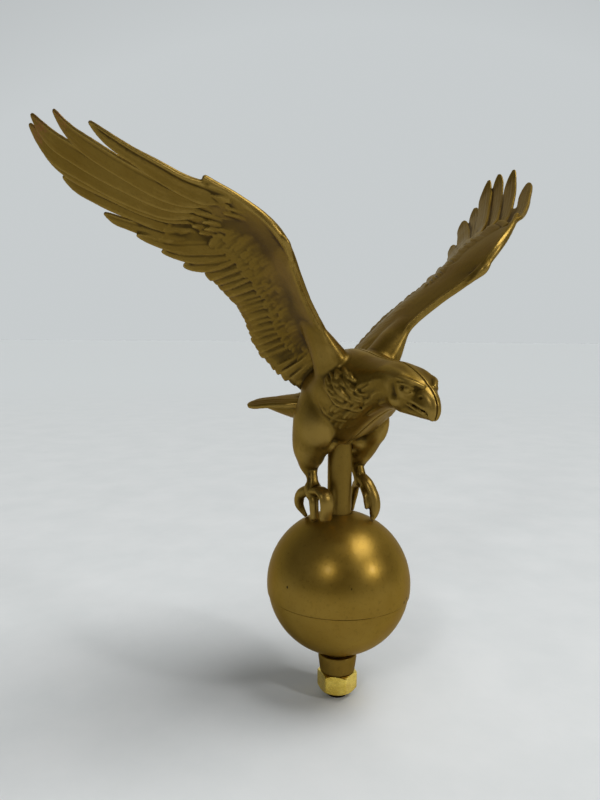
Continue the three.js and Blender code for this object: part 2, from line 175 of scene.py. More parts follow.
def limb(stops, steps, sides, across=(1, 0, 0)):
    """An oval section swept along a smooth path with round ends. Each stop is x, y, z, half width and half
    depth."""
    stops = np.asarray(stops, float)
    t = np.linspace(0, 1, steps)
    middle = path(stops[:, :3], steps)
    size = smooth(stops[:, 3:], t)
    ahead = unit(np.gradient(middle, axis=0))
    head = DOME[::-1]
    middle = np.concatenate([
        middle[0] - size[0].min() * np.sin(head) * ahead[0], middle,
        middle[-1] + size[-1].min() * np.sin(DOME) * ahead[-1],
    ])
    size = np.concatenate([size[0] * np.cos(head), size, size[-1] * np.cos(DOME)])
    ahead = np.concatenate([np.repeat(ahead[:1], len(DOME), 0), ahead, np.repeat(ahead[-1:], len(DOME), 0)])
    across = np.asarray(across, float)
    side = unit(across - ahead * (ahead @ across)[:, None])
    up = np.cross(ahead, side)
    angle = all_round(sides)[None, :, None]
    wide = size[:, :1, None] * np.cos(angle) * side[:, None]
    deep = size[:, 1:, None] * np.sin(angle) * up[:, None]
    return skin(middle[:, None] + wide + deep)


def ellipsoid(centre, radii, sides=40, rows=24):
    pole = 0.04
    height = -np.cos(np.linspace(pole, np.pi - pole, rows))[:, None]
    angle = all_round(sides)
    radius = np.sqrt(1 - height**2)
    rings = np.stack(alike(radius * np.cos(angle), radius * np.sin(angle), height), -1)
    return skin(np.asarray(centre, float) + rings * np.asarray(radii, float))


def block(low, high):
    """A plain box from its lowest to its highest corner, as a closed skin."""
    (x0, y0, z0), (x1, y1, z1) = low, high
    return skin(np.array([[[x0, y0, z], [x1, y0, z], [x1, y1, z], [x0, y1, z]] for z in (z0, z1)], float))


# Trunk, neck and skull: stops are y, top, bottom, half width, height of the widest line from 0 to 1

TRUNK = np.array([
    [26, 105, 86, 9, 0.5], [14, 116.5, 81, 16.5, 0.5], [2, 121, 77, 19.5, 0.5],
    [-11, 124.4, 78, 21.5, 0.52], [-24, 123.2, 85.5, 20.5, 0.5], [-36, 120.8, 92.5, 15.5, 0.5],
    [-46, 119.8, 97, 12.2, 0.55], [-54, 119.2, 98, 10.8, 0.6], [-61, 117, 97.5, 10.2, 0.62],
    [-67, 114.2, 97, 9, 0.66], [-71.5, 111.6, 99, 6, 0.6],
])


def on_trunk(y, angle, high=0.0):
    """The trunk's surface at y, at an angle from its left side up, and high above it."""
    y, angle, high = alike(y, angle, high)
    steps = np.linspace(0, 1, 400)
    t = np.interp(-y, -smooth(TRUNK[:, 0], steps), steps)
    _, top, bottom, half, rise = np.moveaxis(smooth(TRUNK, t), -1, 0)
    middle = bottom + (top - bottom) * rise
    height = np.where(np.sin(angle) > 0, top - middle, middle - bottom)
    x, z = half * np.cos(angle), middle + height * np.sin(angle)
    out = unit(np.stack([height * np.cos(angle), half * np.sin(angle)], -1))
    return np.stack([x + out[..., 0] * high, y, z + out[..., 1] * high], -1)


def trunk():
    y = np.linspace(TRUNK[0, 0], TRUNK[-1, 0], 110)
    return skin(on_trunk(y[:, None], all_round(88)))


# A scale: one small feather lying on a surface, flush at its root and proud at its tip


def section(sides, power, steep):
    """The cross section of a feather: places across it from -1 to 1, and 1 on its upper face, -1 on its lower
    face and between them where it turns over. A high steep makes the edges blunt."""
    angle = all_round(sides)
    across = np.sign(np.cos(angle)) * np.abs(np.cos(angle)) ** power
    return across, np.clip(steep * np.sin(angle), -1, 1)


def scale(surface, root, tip, half, rise, sink=0.9, tilt=0.0):
    """surface(u, v, high) gives points. root and tip are (u, v) on it. half, rise and sink are lengths. tilt
    is how far one side stands up and the other lies down, as a share of the rise."""
    root, tip = np.asarray(root, float), np.asarray(tip, float)
    step = 0.01
    centre = (root + tip) / 2
    reach = [
        np.linalg.norm(surface(*(centre + d), 0.0) - surface(*(centre - d), 0.0)) / (2 * step)
        for d in np.eye(2) * step
    ]
    along = (tip - root) * reach
    across = np.array([-along[1], along[0]]) / np.linalg.norm(along) / reach
    rows, plain, closing, full_from = 6, 0.7, 0.45, 0.35
    last_rows = plain + 0.3 * np.sin(np.linspace(0.2, np.pi / 2, rows))
    s = np.concatenate([np.linspace(0, plain, rows), last_rows])
    end = np.clip((s - 0.55) / closing, 0, 1)
    wide = half * (0.6 + 0.4 * np.minimum(1, s / full_from)) * np.sqrt(np.maximum(1 - end**2, 0.02))
    a, face = section(20, 0.8, 2.4)
    top = rise * (0.1 + 0.9 * s)[:, None] * (1 - 0.4 * a**2 + tilt * a)
    high = np.where(face > 0, face * top, face * sink)
    spots = root + s[:, None, None] * (tip - root) + (wide[:, None] * a)[..., None] * across
    return skin(surface(spots[..., 0], spots[..., 1], high))


# Wing: its front and back edges from the trunk out to the hand

FRONT_EDGE = np.array([
    [8, -20, 120], [19.8, -26.2, 127.5], [23.8, -26.2, 133], [28, -27.8, 138], [37.6, -34.8, 148],
    [48.4, -46, 159.5], [54.6, -50, 168.6], [62, -49.5, 177], [72.6, -44.3, 185.4], [85, -36, 193],
    [97, -27.5, 199],
], float)
BACK_EDGE = np.array([
    [6, 14, 96], [19, 22, 105.5], [24.5, 38, 115], [33, 38, 125], [43, 28, 140],
    [55, 22, 151.5], [65.4, 21.6, 159], [75, 25.5, 165], [84.6, 30, 171], [93, 33, 176], [101, 37, 181],
], float)
EDGE_INSET = 1.0
SPAN_STEP = 0.03
ARM_HALF = 1.9
ARM_THINNING = 0.8
ARM_FALL = 1.7
BLADE_HALF = 0.7
WING_ARCH = 4.2
UPPER_NOSE, UNDER_NOSE = 0.05, 0.015
UNDER_SHARE = 0.75
HAND = 0.8
CORE_SPAN, CORE_CHORD = 0.88, 0.96
CORE_STEPS = 50
CORE_DROP = 1.3


def wing_frame(t):
    """The wing's front edge, its chord and the way its upper face looks, at t along the span."""
    front, back = smooth(FRONT_EDGE, t), smooth(BACK_EDGE, t)
    front = front + EDGE_INSET * unit(back - front)
    chord = back - front
    beyond, before = t + SPAN_STEP, t - SPAN_STEP
    outward = smooth(FRONT_EDGE, beyond) + smooth(BACK_EDGE, beyond)
    outward = outward - smooth(FRONT_EDGE, before) - smooth(BACK_EDGE, before)
    return front, chord, unit(np.cross(outward, chord))


def wing_half(t, c, nose=UPPER_NOSE):
    """Half the wing's thickness at t along the span and c across the chord. nose is how far its rounding
    runs."""
    t, c = np.asarray(t, float), np.clip(c, 0, 1)
    thick = BLADE_HALF + (ARM_HALF - ARM_THINNING * t) * (1 - c) ** ARM_FALL
    thick = thick * (0.4 + 0.6 * ease(t, 0.05, 0.2)) * (1 - 0.45 * ease(t, 0.85, 1))
    return thick * np.minimum(1, 0.25 + np.sqrt(c / nose))


def wing_arch(c):
    return WING_ARCH * np.sin(np.pi * np.clip(c * 1.1, 0, 1)) ** 1.2


def wing_middle(t, c, high):
    """A point high above the wing's middle sheet, towards its upper face."""
    t, c, high = alike(t, c, high)
    front, chord, up = wing_frame(t)
    return front + chord * c[..., None] + up * (wing_arch(c) + high)[..., None]


def upper_face(t, c, high=0.0):
    return wing_middle(t, c, wing_half(t, c) + high)


def under_share(t):
    """How thick the wing is below its middle sheet, as a share of above it."""
    return UNDER_SHARE + (1 - UNDER_SHARE) * ease(t, 0.6, 0.72)


def under_face(t, c, high=0.0):
    return wing_middle(t, c, -under_share(t) * wing_half(t, c, UNDER_NOSE) - high)


def wing_core():
    """The wing's bare sheet, which the feathers lie on. It thins out where the primaries begin."""
    t = np.linspace(0, CORE_SPAN, 110)[:, None]
    run = np.linspace(0, 1, CORE_STEPS) ** 1.5
    c = np.concatenate([run, run[-2:0:-1]]) * CORE_CHORD
    upper = np.arange(len(c)) < CORE_STEPS
    half = np.where(upper, wing_half(t, c), -under_share(t) * wing_half(t, c, UNDER_NOSE))
    half = half * (1 - 0.75 * ease(t, 0.77, CORE_SPAN)) * (1 - 0.25 * ease(c, 0.4, 0.6))
    return skin(wing_middle(t, c, half - CORE_DROP * ease(t, HAND, 0.9)))


# Long feathers. across points to a feather's back edge and lift to its upper face

ALONG = np.concatenate([np.linspace(0, 0.9, 44), np.linspace(0.91, 1, 12)])


def feather(
    middle, across, lift, half, thick, slope, rim=0.2, groove=0.35, quill=-0.4, vane=0.08, belly=0.38,
):
    """middle is its line of points and half and thick its half width and half thickness along it. It falls by
    slope towards its back edge. Below it has a rim along its front edge and a groove for its shaft, at quill
    across it. vane is the height of its barbs and belly how much thinner it gets towards its edges."""
    shaft_half, shaft_rise, barb_gap = 0.65, 0.25, 2.3
    half, thick = np.asarray(half)[:, None], np.asarray(thick)[:, None]
    a, face = section(52, 0.85, 2.6)
    grow = (ease(ALONG, 0, 0.25) * (1 - ease(ALONG, 0.86, 1)))[:, None]
    shaft = np.exp(-(((a - quill) * half / shaft_half) ** 2))
    barbs = vane * np.cos(a * half * 2 * np.pi / barb_gap)
    lens = thick * (1 - belly + belly * np.sqrt(np.maximum(1 - a**2, 0)))
    over = lens + grow * (shaft_rise * shaft + barbs)
    under = lens + grow * (rim * ease(-a, 0.5, 0.85) - groove * shaft + barbs)
    high = np.where(face > 0, face * over, face * under) + slope * a * half
    return skin(middle[:, None] + (a * half)[..., None] * across + high[..., None] * lift)


def rounded(start, power=2.0):
    """How a feather's width closes along it: 1 up to start, then round down to its tip."""
    u = np.clip((ALONG - start) / (1 - start), 0, 1)
    return np.sqrt(np.maximum(1 - u**power, 0.015))


# Primaries: the long outer feathers, from the front edge backwards. Each runs from its root, a share of the
# chord, to its tip. bow lifts its middle or, below 0, lowers it. The last three are given at the root, the
# middle and the tip: how far the feather lies behind its line, its half width, and how far it stands above the
# line or, below 0, hangs under it.

PRIMARY_KEYS = ("tip", "root", "bow", "slope", "behind", "half", "drop")
PRIMARIES = [dict(zip(PRIMARY_KEYS, row)) for row in (
    ((123.6, -1, 219.2), 0.1, -2.4, -0.15, (1.5, 0.6, 1.2), (6.6, 5.0, 3.3), (-2.4, -1.7, -0.8)),
    ((135, 22.5, 231), 0.2, -3.4, -0.2, (2.6, 3.4, 3.9), (5.0, 5.6, 5.0), (-3.6, -3.1, -2.4)),
    ((142.4, 43.5, 234.4), 0.3, -3.8, -0.32, (2.6, 3.1, 3.1), (5.2, 5.3, 5.2), (-3.4, -3.0, -3.0)),
    ((142.5, 52.9, 231.4), 0.4, -3.6, -0.34, (3.6, 5.2, 5.0), (5.6, 5.5, 6.0), (-3.0, -3.0, -3.0)),
    ((135.7, 58, 218.7), 0.5, -2.6, -0.28, (1.4, 1.4, 1.6), (5.0, 4.6, 4.0), (-2.0, -2.0, -1.5)),
    ((127.2, 59.7, 208.8), 0.6, -1.8, -0.28, (1.4, 1.4, 1.4), (5.0, 4.4, 3.8), (-2.0, -1.8, -1.2)),
    ((109.5, 48.5, 190.6), 0.72, -1, -0.28, (1.0, 1.0, 0.9), (4.5, 3.7, 2.6), (-1.0, -0.9, -0.8)),
)]
PRIMARY_THICK = 1.3
WEB_HALF = 1.0
WEB_PLACE = 0.6
WEB_HOLLOW = 0.12
EDGE_WAVE = {"height": 0.035, "rate": 17}


def primary(row, tip_lift, broad, close, tilt):
    """A primary's middle line, its across and lift ways, its half width and its slope."""
    front, chord, up = wing_frame(np.array(HAND))
    root = front + chord * row["root"] + up * wing_arch(row["root"])
    line = np.array(row["tip"]) + (0, 0, tip_lift) - root
    ahead = unit(line)
    across = unit(np.cross(up, ahead))
    lift = np.cross(ahead, across)
    behind, half, drop = (smooth(np.array(row[key]), ALONG) for key in ("behind", "half", "drop"))
    high = 4 * row["bow"] * ALONG * (1 - ALONG) + drop * close**2 * ease(ALONG, 0, 0.35)
    aside = behind * close**2 * ease(ALONG, 0, 0.25)
    middle = root + ALONG[:, None] * line + aside[:, None] * across + high[:, None] * lift
    wide = broad * half * close * (0.5 + 0.5 * ease(ALONG, 0, 0.2))
    return middle, across, lift, wide, row["slope"] * tilt


def beside(run, place, t):
    """Points t along a primary, place across it."""
    middle, across, lift, half, slope = run
    line = middle + (place * half)[:, None] * (across + slope * lift)
    return np.stack([np.interp(t, ALONG, line[:, k]) for k in range(3)], -1)


def web(before, behind, ends):
    """A thin sheet between two primaries, up to a share of each one's length, with a hollow outer edge."""
    w = np.linspace(0, 1, 13)
    s = np.linspace(0.04, 1, 40)[:, None] * (1 - WEB_HOLLOW * np.sin(np.pi * w))
    w = np.broadcast_to(w, s.shape)[..., None]
    sheet = beside(before, WEB_PLACE, s * ends[0]) * (1 - w) + beside(behind, -WEB_PLACE, s * ends[1]) * w
    high = WEB_HALF * (1 - 0.5 * ease(s, 0.8, 1))[..., None] * before[2]
    return skin(np.concatenate([sheet + high, (sheet - high)[:, ::-1]], 1))


def primaries(tip_lift, first, round_from, broad, tilt, web_ends):
    rows = [{**PRIMARIES[0], **first}] + PRIMARIES[1:]
    close = rounded(round_from)
    runs = [primary(row, lift, share, close, tilt) for row, lift, share in zip(rows, tip_lift, broad)]
    shells = []
    for k, (middle, across, lift, half, slope) in enumerate(runs):
        wave = np.sin(EDGE_WAVE["rate"] * ALONG + 2 * k)
        half = half * (1 + EDGE_WAVE["height"] * wave * ease(ALONG, 0.1, 0.3))
        thick = PRIMARY_THICK * (1 - 0.45 * ALONG) * (0.4 + 0.6 * ease(ALONG, 0, 0.2))
        rim, groove = (0.1, 0.35) if k else (0.45, 0.7)
        shells.append(feather(middle, across, lift, half, thick, slope, rim=rim, groove=groove, quill=-0.5))
    shells += [web(a, b, ends) for a, b, ends in zip(runs, runs[1:], web_ends)]
    return shells


# Feathers along the back edge, each lapping the next. Edges are the places on the span where one gives way to
# the next. A long feather has its places as (span, chord), and its half width at the root, middle and tip.

SECONDARY_EDGES = [
    0.048, 0.075, 0.105, 0.137, 0.163, 0.195, 0.226, 0.259, 0.295, 0.32, 0.342, 0.363, 0.383, 0.407,
    0.42, 0.437, 0.453, 0.477, 0.512, 0.54, 0.57, 0.612,
]
FAINT_EDGES = (0.075, 0.105, 0.32, 0.363, 0.407, 0.437, 0.453, 0.54)
LONG_FEATHERS = [
    [[(0.618, 0.5), (0.624, 0.6), (0.637, 0.77), (0.66, 0.9), (0.698, 1.025)], (2.4, 3.9, 3.2)],
    [[(0.640, 0.5), (0.650, 0.62), (0.675, 0.74), (0.715, 0.87), (0.808, 0.998)], (2.6, 3.8, 3.2)],
    [[(0.680, 0.5), (0.70, 0.62), (0.744, 0.75), (0.80, 0.865), (0.944, 0.972)], (4.2, 4.8, 3.4)],
]
LAP = 0.55
FAINT_FALL, FALL = 0.2, 0.35


def lying_feather(stops, half, slope, round_from=0.93, power=3.0, **looks):
    """A feather in the wing's sheet along a line of (span, chord) places."""
    t, c = smooth(stops, ALONG).T
    deep = np.maximum(wing_half(t, np.minimum(c, 0.97)), 0.8) + 0.1
    middle = wing_middle(t, c, 0.5 * (1 - under_share(t)) * deep)
    up = wing_frame(t)[2]
    ahead = unit(np.gradient(middle, axis=0))
    across = unit(np.cross(up, ahead))[:, None]
    lift = np.cross(ahead, across[:, 0])[:, None]
    thick = 0.5 * (1 + under_share(t)) * deep * (0.5 + 0.5 * ease(ALONG, 0, 0.25))
    wide = smooth(np.array(half), ALONG) * rounded(round_from, power)
    return feather(middle, across, lift, wide, thick, slope, **looks)


def secondaries():
    dice = np.random.default_rng(3)
    shells = []
    for start, end in zip(SECONDARY_EDGES, SECONDARY_EDGES[1:]):
        place = (start + end) / 2
        reach = np.linalg.norm(wing_middle(end, 0.8, 0.0) - wing_middle(start, 0.8, 0.0))
        wide = 0.5 * reach + LAP
        last = 0.995 + 0.014 * dice.uniform(-1, 1)
        sway = 0.003 * dice.uniform(-1, 1, 3)
        stops = [
            (place - 0.014, 0.42), (place - 0.009 + sway[0], 0.60), (place + sway[1], 0.80),
            (place + 0.008 + sway[2], last),
        ]
        fall = FAINT_FALL if start in FAINT_EDGES else FALL
        shells.append(lying_feather(
            stops, (wide, wide, wide * 0.95), -fall / wide,
            rim=0.06, groove=0.1, quill=0.2, vane=0.04, belly=0.15,
        ))
    return shells


def long_feathers():
    return [
        lying_feather(stops, half, -0.2, 0.72, 2.0, rim=0.2, groove=0.25, quill=-0.2)
        for stops, half in LONG_FEATHERS
    ]


# Rows of small feathers. Each row is: span from, span to, spacing, root and tip across the chord, rise

UNDER_ROWS = [
    [0.335, 0.72, 0.0160, 0.46, 0.655, 0.36], [0.345, 0.71, 0.0155, 0.35, 0.545, 0.34],
    [0.360, 0.68, 0.0170, 0.28, 0.430, 0.2], [0.110, 0.33, 0.0190, 0.46, 0.640, 0.3],
    [0.130, 0.35, 0.0200, 0.34, 0.520, 0.26],
]
UPPER_ROWS = [
    [0.11, 0.60, 0.022, 0.52, 0.72, 0.42], [0.14, 0.60, 0.022, 0.42, 0.60, 0.36],
    [0.20, 0.58, 0.022, 0.33, 0.48, 0.24],
]
ROW_LEAN = 0.012
ROW_JOG = {"span": 0.0035, "chord": 0.024}


def covert_row(surface, row, dice):
    start, end, spacing, root, tip, rise = row
    shells = []
    for place in np.arange(start, end, spacing):
        jog = dice.uniform(-1, 1, 6)
        middle = (root + tip) / 2
        apart = np.linalg.norm(surface(place + spacing / 2, middle) - surface(place - spacing / 2, middle))
        shells.append(scale(
            surface,
            (place + ROW_LEAN + ROW_JOG["span"] * jog[0], root + ROW_JOG["chord"] * jog[1]),
            (place + ROW_JOG["span"] * jog[2], tip + ROW_JOG["chord"] * jog[3]),
            (0.60 + 0.1 * jog[4]) * apart,
            rise * (1 + 0.35 * jog[5]),
            tilt=-0.75 + 0.2 * jog[4],
        ))
    return shells


# Coverts of the hand: lobes that lie along the primaries. Each is its root and tip as (span, chord), its half
# width and its rise.

HAND_COVERTS = [
    [(0.80, 0.25), (0.895, 0.31), 3.0, 1.3], [(0.79, 0.34), (0.875, 0.43), 3.3, 1.4],
    [(0.775, 0.43), (0.845, 0.52), 3.0, 1.3], [(0.76, 0.50), (0.81, 0.575), 2.4, 1.1],
    [(0.74, 0.52), (0.775, 0.60), 1.8, 1.0], [(0.77, 0.24), (0.85, 0.32), 2.7, 1.6],
    [(0.77, 0.33), (0.838, 0.41), 2.8, 1.8], [(0.755, 0.40), (0.80, 0.47), 2.4, 1.6],
    [(0.74, 0.45), (0.775, 0.53), 2.0, 1.4], [(0.735, 0.15), (0.785, 0.235), 2.1, 1.3],
    [(0.75, 0.10), (0.80, 0.16), 1.6, 1.0], [(0.71, 0.40), (0.752, 0.47), 1.5, 0.6],
    [(0.69, 0.45), (0.738, 0.55), 1.5, 0.5],
]


UPPER_BAND = [
    (0.46, 0.45), (0.56, 0.44), (0.64, 0.42), (0.69, 0.38), (0.73, 0.32), (0.77, 0.24), (0.80, 0.15),
    (0.82, 0.07),
]
UPPER_BAND_COUNT = 34


def upper_band(dice):
    """Small ragged ridges along the upper face, each pointing away from the front edge."""
    shells = []
    for t, c in smooth(UPPER_BAND, np.linspace(0, 1, UPPER_BAND_COUNT)):
        jog = dice.uniform(-1, 1, 4)
        hand = ease(t, 0.7, 0.8)
        shells.append(scale(
            upper_face,
            (t - 0.006 + 0.003 * jog[0], c - 0.03 + 0.015 * jog[1]),
            (t + 0.026 + 0.022 * hand + 0.004 * jog[2], c + 0.085 + 0.02 * jog[3]),
            1.2 + 0.25 * jog[1] + 0.3 * hand,
            1.1 + 0.3 * jog[2],
            sink=1.6 + 2.4 * hand,
            tilt=-0.6,
        ))
    return shells


# The ridge along the hand's front edge, and the form that joins the wing to the body

ALULA = [
    [50.6, -46.2, 161.2, 0.8, 0.8], [56, -47.6, 169, 1.5, 1.5], [63, -46.6, 177, 1.7, 1.7],
    [73, -41.8, 185.2, 1.7, 1.7], [84, -34.2, 193.3, 1.5, 1.2],
]
SHOULDER = [
    [9, -14, 110, 11, 13], [15.6, -15, 120, 8, 11.4], [22, -15, 130, 4.8, 10.4], [27.6, -16, 138, 2, 8],
]
CREST_STEPS = 9


def crest(surface, start, end, c, half):
    """A fine raised line along the wing's front edge."""
    t = np.linspace(start, end, CREST_STEPS)
    spots = surface(t, np.full(CREST_STEPS, c), 0.0)
    size = half * (0.35 + 0.65 * np.sin(np.pi * np.linspace(0.06, 0.94, CREST_STEPS)))
    return limb(np.column_stack([spots, size, size]), 60, 10)


def plumed_wing(hand):
    dice = np.random.default_rng(7)
    shells = secondaries() + long_feathers() + primaries(**hand)
    for row in UNDER_ROWS:
        shells += covert_row(under_face, row, dice)
    for row in UPPER_ROWS:
        shells += covert_row(upper_face, row, dice)
    shells += [scale(under_face, *covert, sink=2.6, tilt=-0.35) for covert in HAND_COVERTS]
    shells += upper_band(dice) + [limb(ALULA, 50, 28)]
    shells += [crest(upper_face, 0.14, 0.80, 0.015, 0.65), crest(under_face, 0.5, 0.78, 0.012, 0.45)]
    return shells


# Head

UPPER_BEAK = [
    [0, -66, 106.5, 7.2, 6.2], [0, -71.5, 105, 5.6, 5.3], [0, -75.5, 102.2, 4.2, 4.1],
    [0, -77.3, 98.8, 3.4, 2.7], [0, -77.4, 96.3, 2.7, 1.4],
]
LOWER_BEAK = [
    [0, -58, 99.8, 6.6, 3], [0, -64, 99.5, 6.6, 3.1], [0, -69, 98.9, 5.8, 2.9], [0, -72.6, 98.1, 4.8, 2.5],
    [0, -75.4, 97.3, 3.5, 1.9],
]
CROWN = [
    [4, -42, 112, 6, 6], [5, -50, 113, 5.6, 5.4], [5.4, -57, 112.9, 5, 4.4], [5.2, -63, 112, 4.4, 3.4],
    [4, -68, 110, 3.4, 2.6],
]
BROW = [
    [6.4, -50, 112.6, 1.6, 1.4], [7.2, -57, 113.2, 2.0, 1.4], [7.5, -62.5, 113, 2.2, 1.3],
    [7.3, -66.2, 112.3, 2.0, 1.2], [6.4, -69.2, 111.4, 1.6, 1.1], [5.0, -71.5, 110.7, 1.2, 1.0],
    [3.0, -73.6, 109.4, 0.9, 0.9],
]
CHEEK = ([4.8, -60, 103.4], [5, 7.5, 4.6])
SOCKET = [
    [9.0, -66.2, 108.9, 0.5, 0.8], [8.6, -67.4, 108.8, 0.9, 1.3], [7.9, -69.6, 108.2, 1.0, 1.4],
    [7.0, -71.2, 107.6, 0.6, 0.8],
]
EYE = ((7.1, -68.3, 108.2), (1.6, 2.0, 1.6))
UPPER_LID = [
    [9.3, -64, 110.4, 0.4, 0.4], [8.7, -66.8, 110.5, 0.6, 0.6], [7.7, -69.2, 110.1, 0.6, 0.6],
    [6.3, -71.2, 108.8, 0.35, 0.35],
]
LOWER_LID = [
    [9.0, -64.4, 107.6, 0.4, 0.4], [8.2, -67, 106.4, 0.6, 0.6], [7.2, -69.4, 106.2, 0.6, 0.6],
    [6.4, -71.2, 107, 0.4, 0.4],
]
# Soft hollows of the head and neck: each is its middle, its reach and its depth
HOLLOWS = [
    (10.4, -61.2, 108.6, 2.6, 0.8), (9.8, -62.2, 105.6, 2.2, 0.5), (8.6, -67.5, 110, 1.8, 0.5),
    (5.6, -71.8, 106.8, 1.8, 0.4), (10.6, -37.5, 97.2, 3.4, 1.1),
]
MOUTH = [
    [9.6, -65, 104.4, 2.5, 0.3], [7.6, -67.5, 103.3, 2.6, 0.35], [6.2, -70.1, 101.9, 2.8, 0.4],
    [5.0, -72.8, 100.6, 3.0, 0.42], [4.2, -75.6, 99.2, 3.2, 0.42], [3.4, -76.6, 97.8, 3.2, 0.4],
    [3.2, -76.4, 95.6, 3.2, 0.4],
]
LIP = [
    [7.4, -65.6, 102.8, 0.4, 0.4], [6.9, -67.8, 102.1, 0.6, 0.6], [5.9, -70.2, 100.8, 0.65, 0.65],
    [4.8, -72.6, 99.5, 0.65, 0.6], [3.7, -74.8, 98.3, 0.55, 0.5],
]
BEAK_RIM = [
    [7.6, -65.4, 105.4, 0.9, 0.9], [6.7, -67.6, 104.5, 1.1, 1.1], [5.6, -70.2, 103.3, 1.3, 1.2],
    [4.6, -72.9, 102, 1.3, 1.2], [3.7, -75.5, 100.5, 1.2, 1.1],
]
NOSTRIL = ([4.9, -74.2, 105], [1.2, 1.1, 0.6])


def head_forms():
    """The forms of the head that run into each other."""
    return [
        limb(UPPER_BEAK, 40, 40), limb(LOWER_BEAK, 30, 32), limb(BEAK_RIM, 30, 16),
        limb(CROWN, 30, 32), ellipsoid(*CHEEK),
    ]


def head_marks():
    return [
        limb(BROW, 40, 24), limb(LIP, 30, 12), limb(UPPER_LID, 24, 10), limb(LOWER_LID, 24, 10),
        ellipsoid(*EYE),
    ]


# Plumage on the side of the neck: a shaggy patch of overlapping curled locks, in ragged rows down the trunk.
# Each row is the y and angle in degrees where it starts and ends, and how many locks it has. A stroke is the
# y and angle of its root and its tip, its half width and its rise.

LOCK_ROWS = [
    [(-17.5, 54), (-21, 4), 7], [(-21, 52), (-25.5, -6), 8], [(-24.5, 47), (-29.5, -14), 8],
    [(-28, 40), (-33, -16), 7], [(-31.5, 30), (-35.5, -8), 5],
]
LOCK = {"length": 6.2, "turn": -20, "half": 1.05, "rise": 1.05}
STROKES = [
    [-54, -22, -46, -30, 1.1, 0.5], [-51, -34, -41, -40, 1.2, 0.6], [-48, -46, -37, -50, 1.2, 0.6],
    [-57, -44, -47, -56, 1.1, 0.5], [-44, -22, -35, -30, 1.2, 0.7], [-43, -34, -33, -40, 1.3, 0.7],
    [-41, -54, -30, -58, 1.3, 0.6], [-36, -44, -26, -50, 1.3, 0.6], [-34, -30, -24, -34, 1.3, 0.6],
    [-30, -56, -19, -60, 1.4, 0.6], [-27, -40, -17, -44, 1.4, 0.5], [-46, 4, -38, -4, 1.0, 0.4],
    [-50, -4, -42, -12, 1.0, 0.4], [-54, 8, -46, 0, 1.0, 0.35], [-47, -66, -36, -68, 1.2, 0.5],
    [-39, -24, -31, -31, 1.2, 0.6], [-31, -22, -22, -30, 1.3, 0.6], [-22, -26, -13, -36, 1.4, 0.5],
    [-38, -50, -28, -54, 1.1, 0.6], [-24, -50, -14, -56, 1.4, 0.5], [-33, -64, -22, -66, 1.3, 0.5],
]


def locks():
    dice = np.random.default_rng(21)
    marks = []
    for start, end, count in LOCK_ROWS:
        for share in np.linspace(0, 1, count):
            jog = dice.uniform(-1, 1, 6)
            y = start[0] + share * (end[0] - start[0]) + 1.3 * jog[0]
            angle = start[1] + share * (end[1] - start[1]) + 3.5 * jog[1]
            length = LOCK["length"] * (1 + 0.25 * jog[2])
            curl = LOCK["turn"] * (1 + 0.6 * jog[3])
            marks.append(scale(
                on_trunk,
                (y, math.radians(angle)),
                (y - length, math.radians(angle + curl)),
                LOCK["half"] * (1 + 0.25 * jog[4]),
                LOCK["rise"] * (1 + 0.4 * jog[5]),
                tilt=0.7 * np.sign(jog[3]),
            ))
    return marks


THIGH_ARC = [
    [20.9, -14.5, 100.5, 0.5, 0.5], [20.3, -16.1, 97.5, 0.8, 0.8], [19, -17.9, 93.7, 0.9, 0.9],
    [17, -19.4, 91.8, 0.9, 0.9], [14.1, -22.2, 90.1, 0.8, 0.8], [11.8, -25, 89.8, 0.5, 0.5],
]
THIGH_NUB = ([18.6, -13.5, 81.5], [1.0, 1.0, 1.0])
BACK_ROWS = np.arange(20, -12, -5.5)
BACK_ANGLES = np.arange(48, 90, 13)
BACK_LENGTH = 7.5


def plumage():
    marks = []
    for y0, a0, y1, a1, half, rise in STROKES:
        root, tip = (y0, math.radians(a0)), (y1, math.radians(a1))
        marks.append(scale(on_trunk, root, tip, half, rise, tilt=0.6))
    dice = np.random.default_rng(11)
    for y in BACK_ROWS:
        for degrees in BACK_ANGLES:
            jog = dice.uniform(-1, 1, 3)
            spot = (y + jog[0], math.radians(degrees + 3 * jog[1]))
            marks.append(scale(on_trunk, spot, (spot[0] + BACK_LENGTH, spot[1]), 2.9 + 0.3 * jog[2], 0.4))
    return marks + locks() + [limb(THIGH_ARC, 40, 10), ellipsoid(*THIGH_NUB, sides=14, rows=9)]


# Leg: thigh, shank and toes

LEG = [
    [13, -2, 98, 9, 16], [16, -1, 87, 9, 16.4], [16, 2.6, 79, 8.7, 13.4], [15.4, 5, 72, 8.4, 11],
    [14.7, 6, 67, 7.3, 8.8], [14.6, 6.6, 63, 5.6, 6.4], [14.2, 6.2, 60.2, 4.3, 4.7],
    [13.9, 5.3, 58.2, 3.3, 3.6], [14, 4.3, 56.2, 3, 3.3], [14.3, 3.4, 54.4, 3.2, 3.5],
    [14.6, 2.8, 52.2, 3.9, 4],
]
GROIN = ([9, 0, 75.5], [5, 8, 6])
BOSS = ([0, 0.5, 80.5], [10, 11, 8])
RIGHT_TOES = [
    [[14.4, 3, 51.5, 4.6, 4.2], [14.2, 1.6, 48.6, 4.8, 4]],
    [[14.4, 0, 50.6, 4.2, 2.6], [13.9, -5.4, 51.4, 4.0, 2.2], [13.4, -9.2, 49.4, 3.9, 2.0],
     [13.2, -10.4, 45, 3.8, 1.8], [13.2, -9.4, 37.4, 3.5, 1.3]],
    [[14.8, 2, 49, 3, 3], [15.6, -0.6, 45, 2.6, 2.4], [15.2, -1, 36.6, 2.4, 1.8]],
    [[15.5, 4, 50.5, 3, 3], [17.4, 11, 46.4, 2.8, 2.8], [16.8, 13.6, 40.4, 2.4, 2.5],
     [14, 11.8, 34.6, 1.2, 1.2]],
]
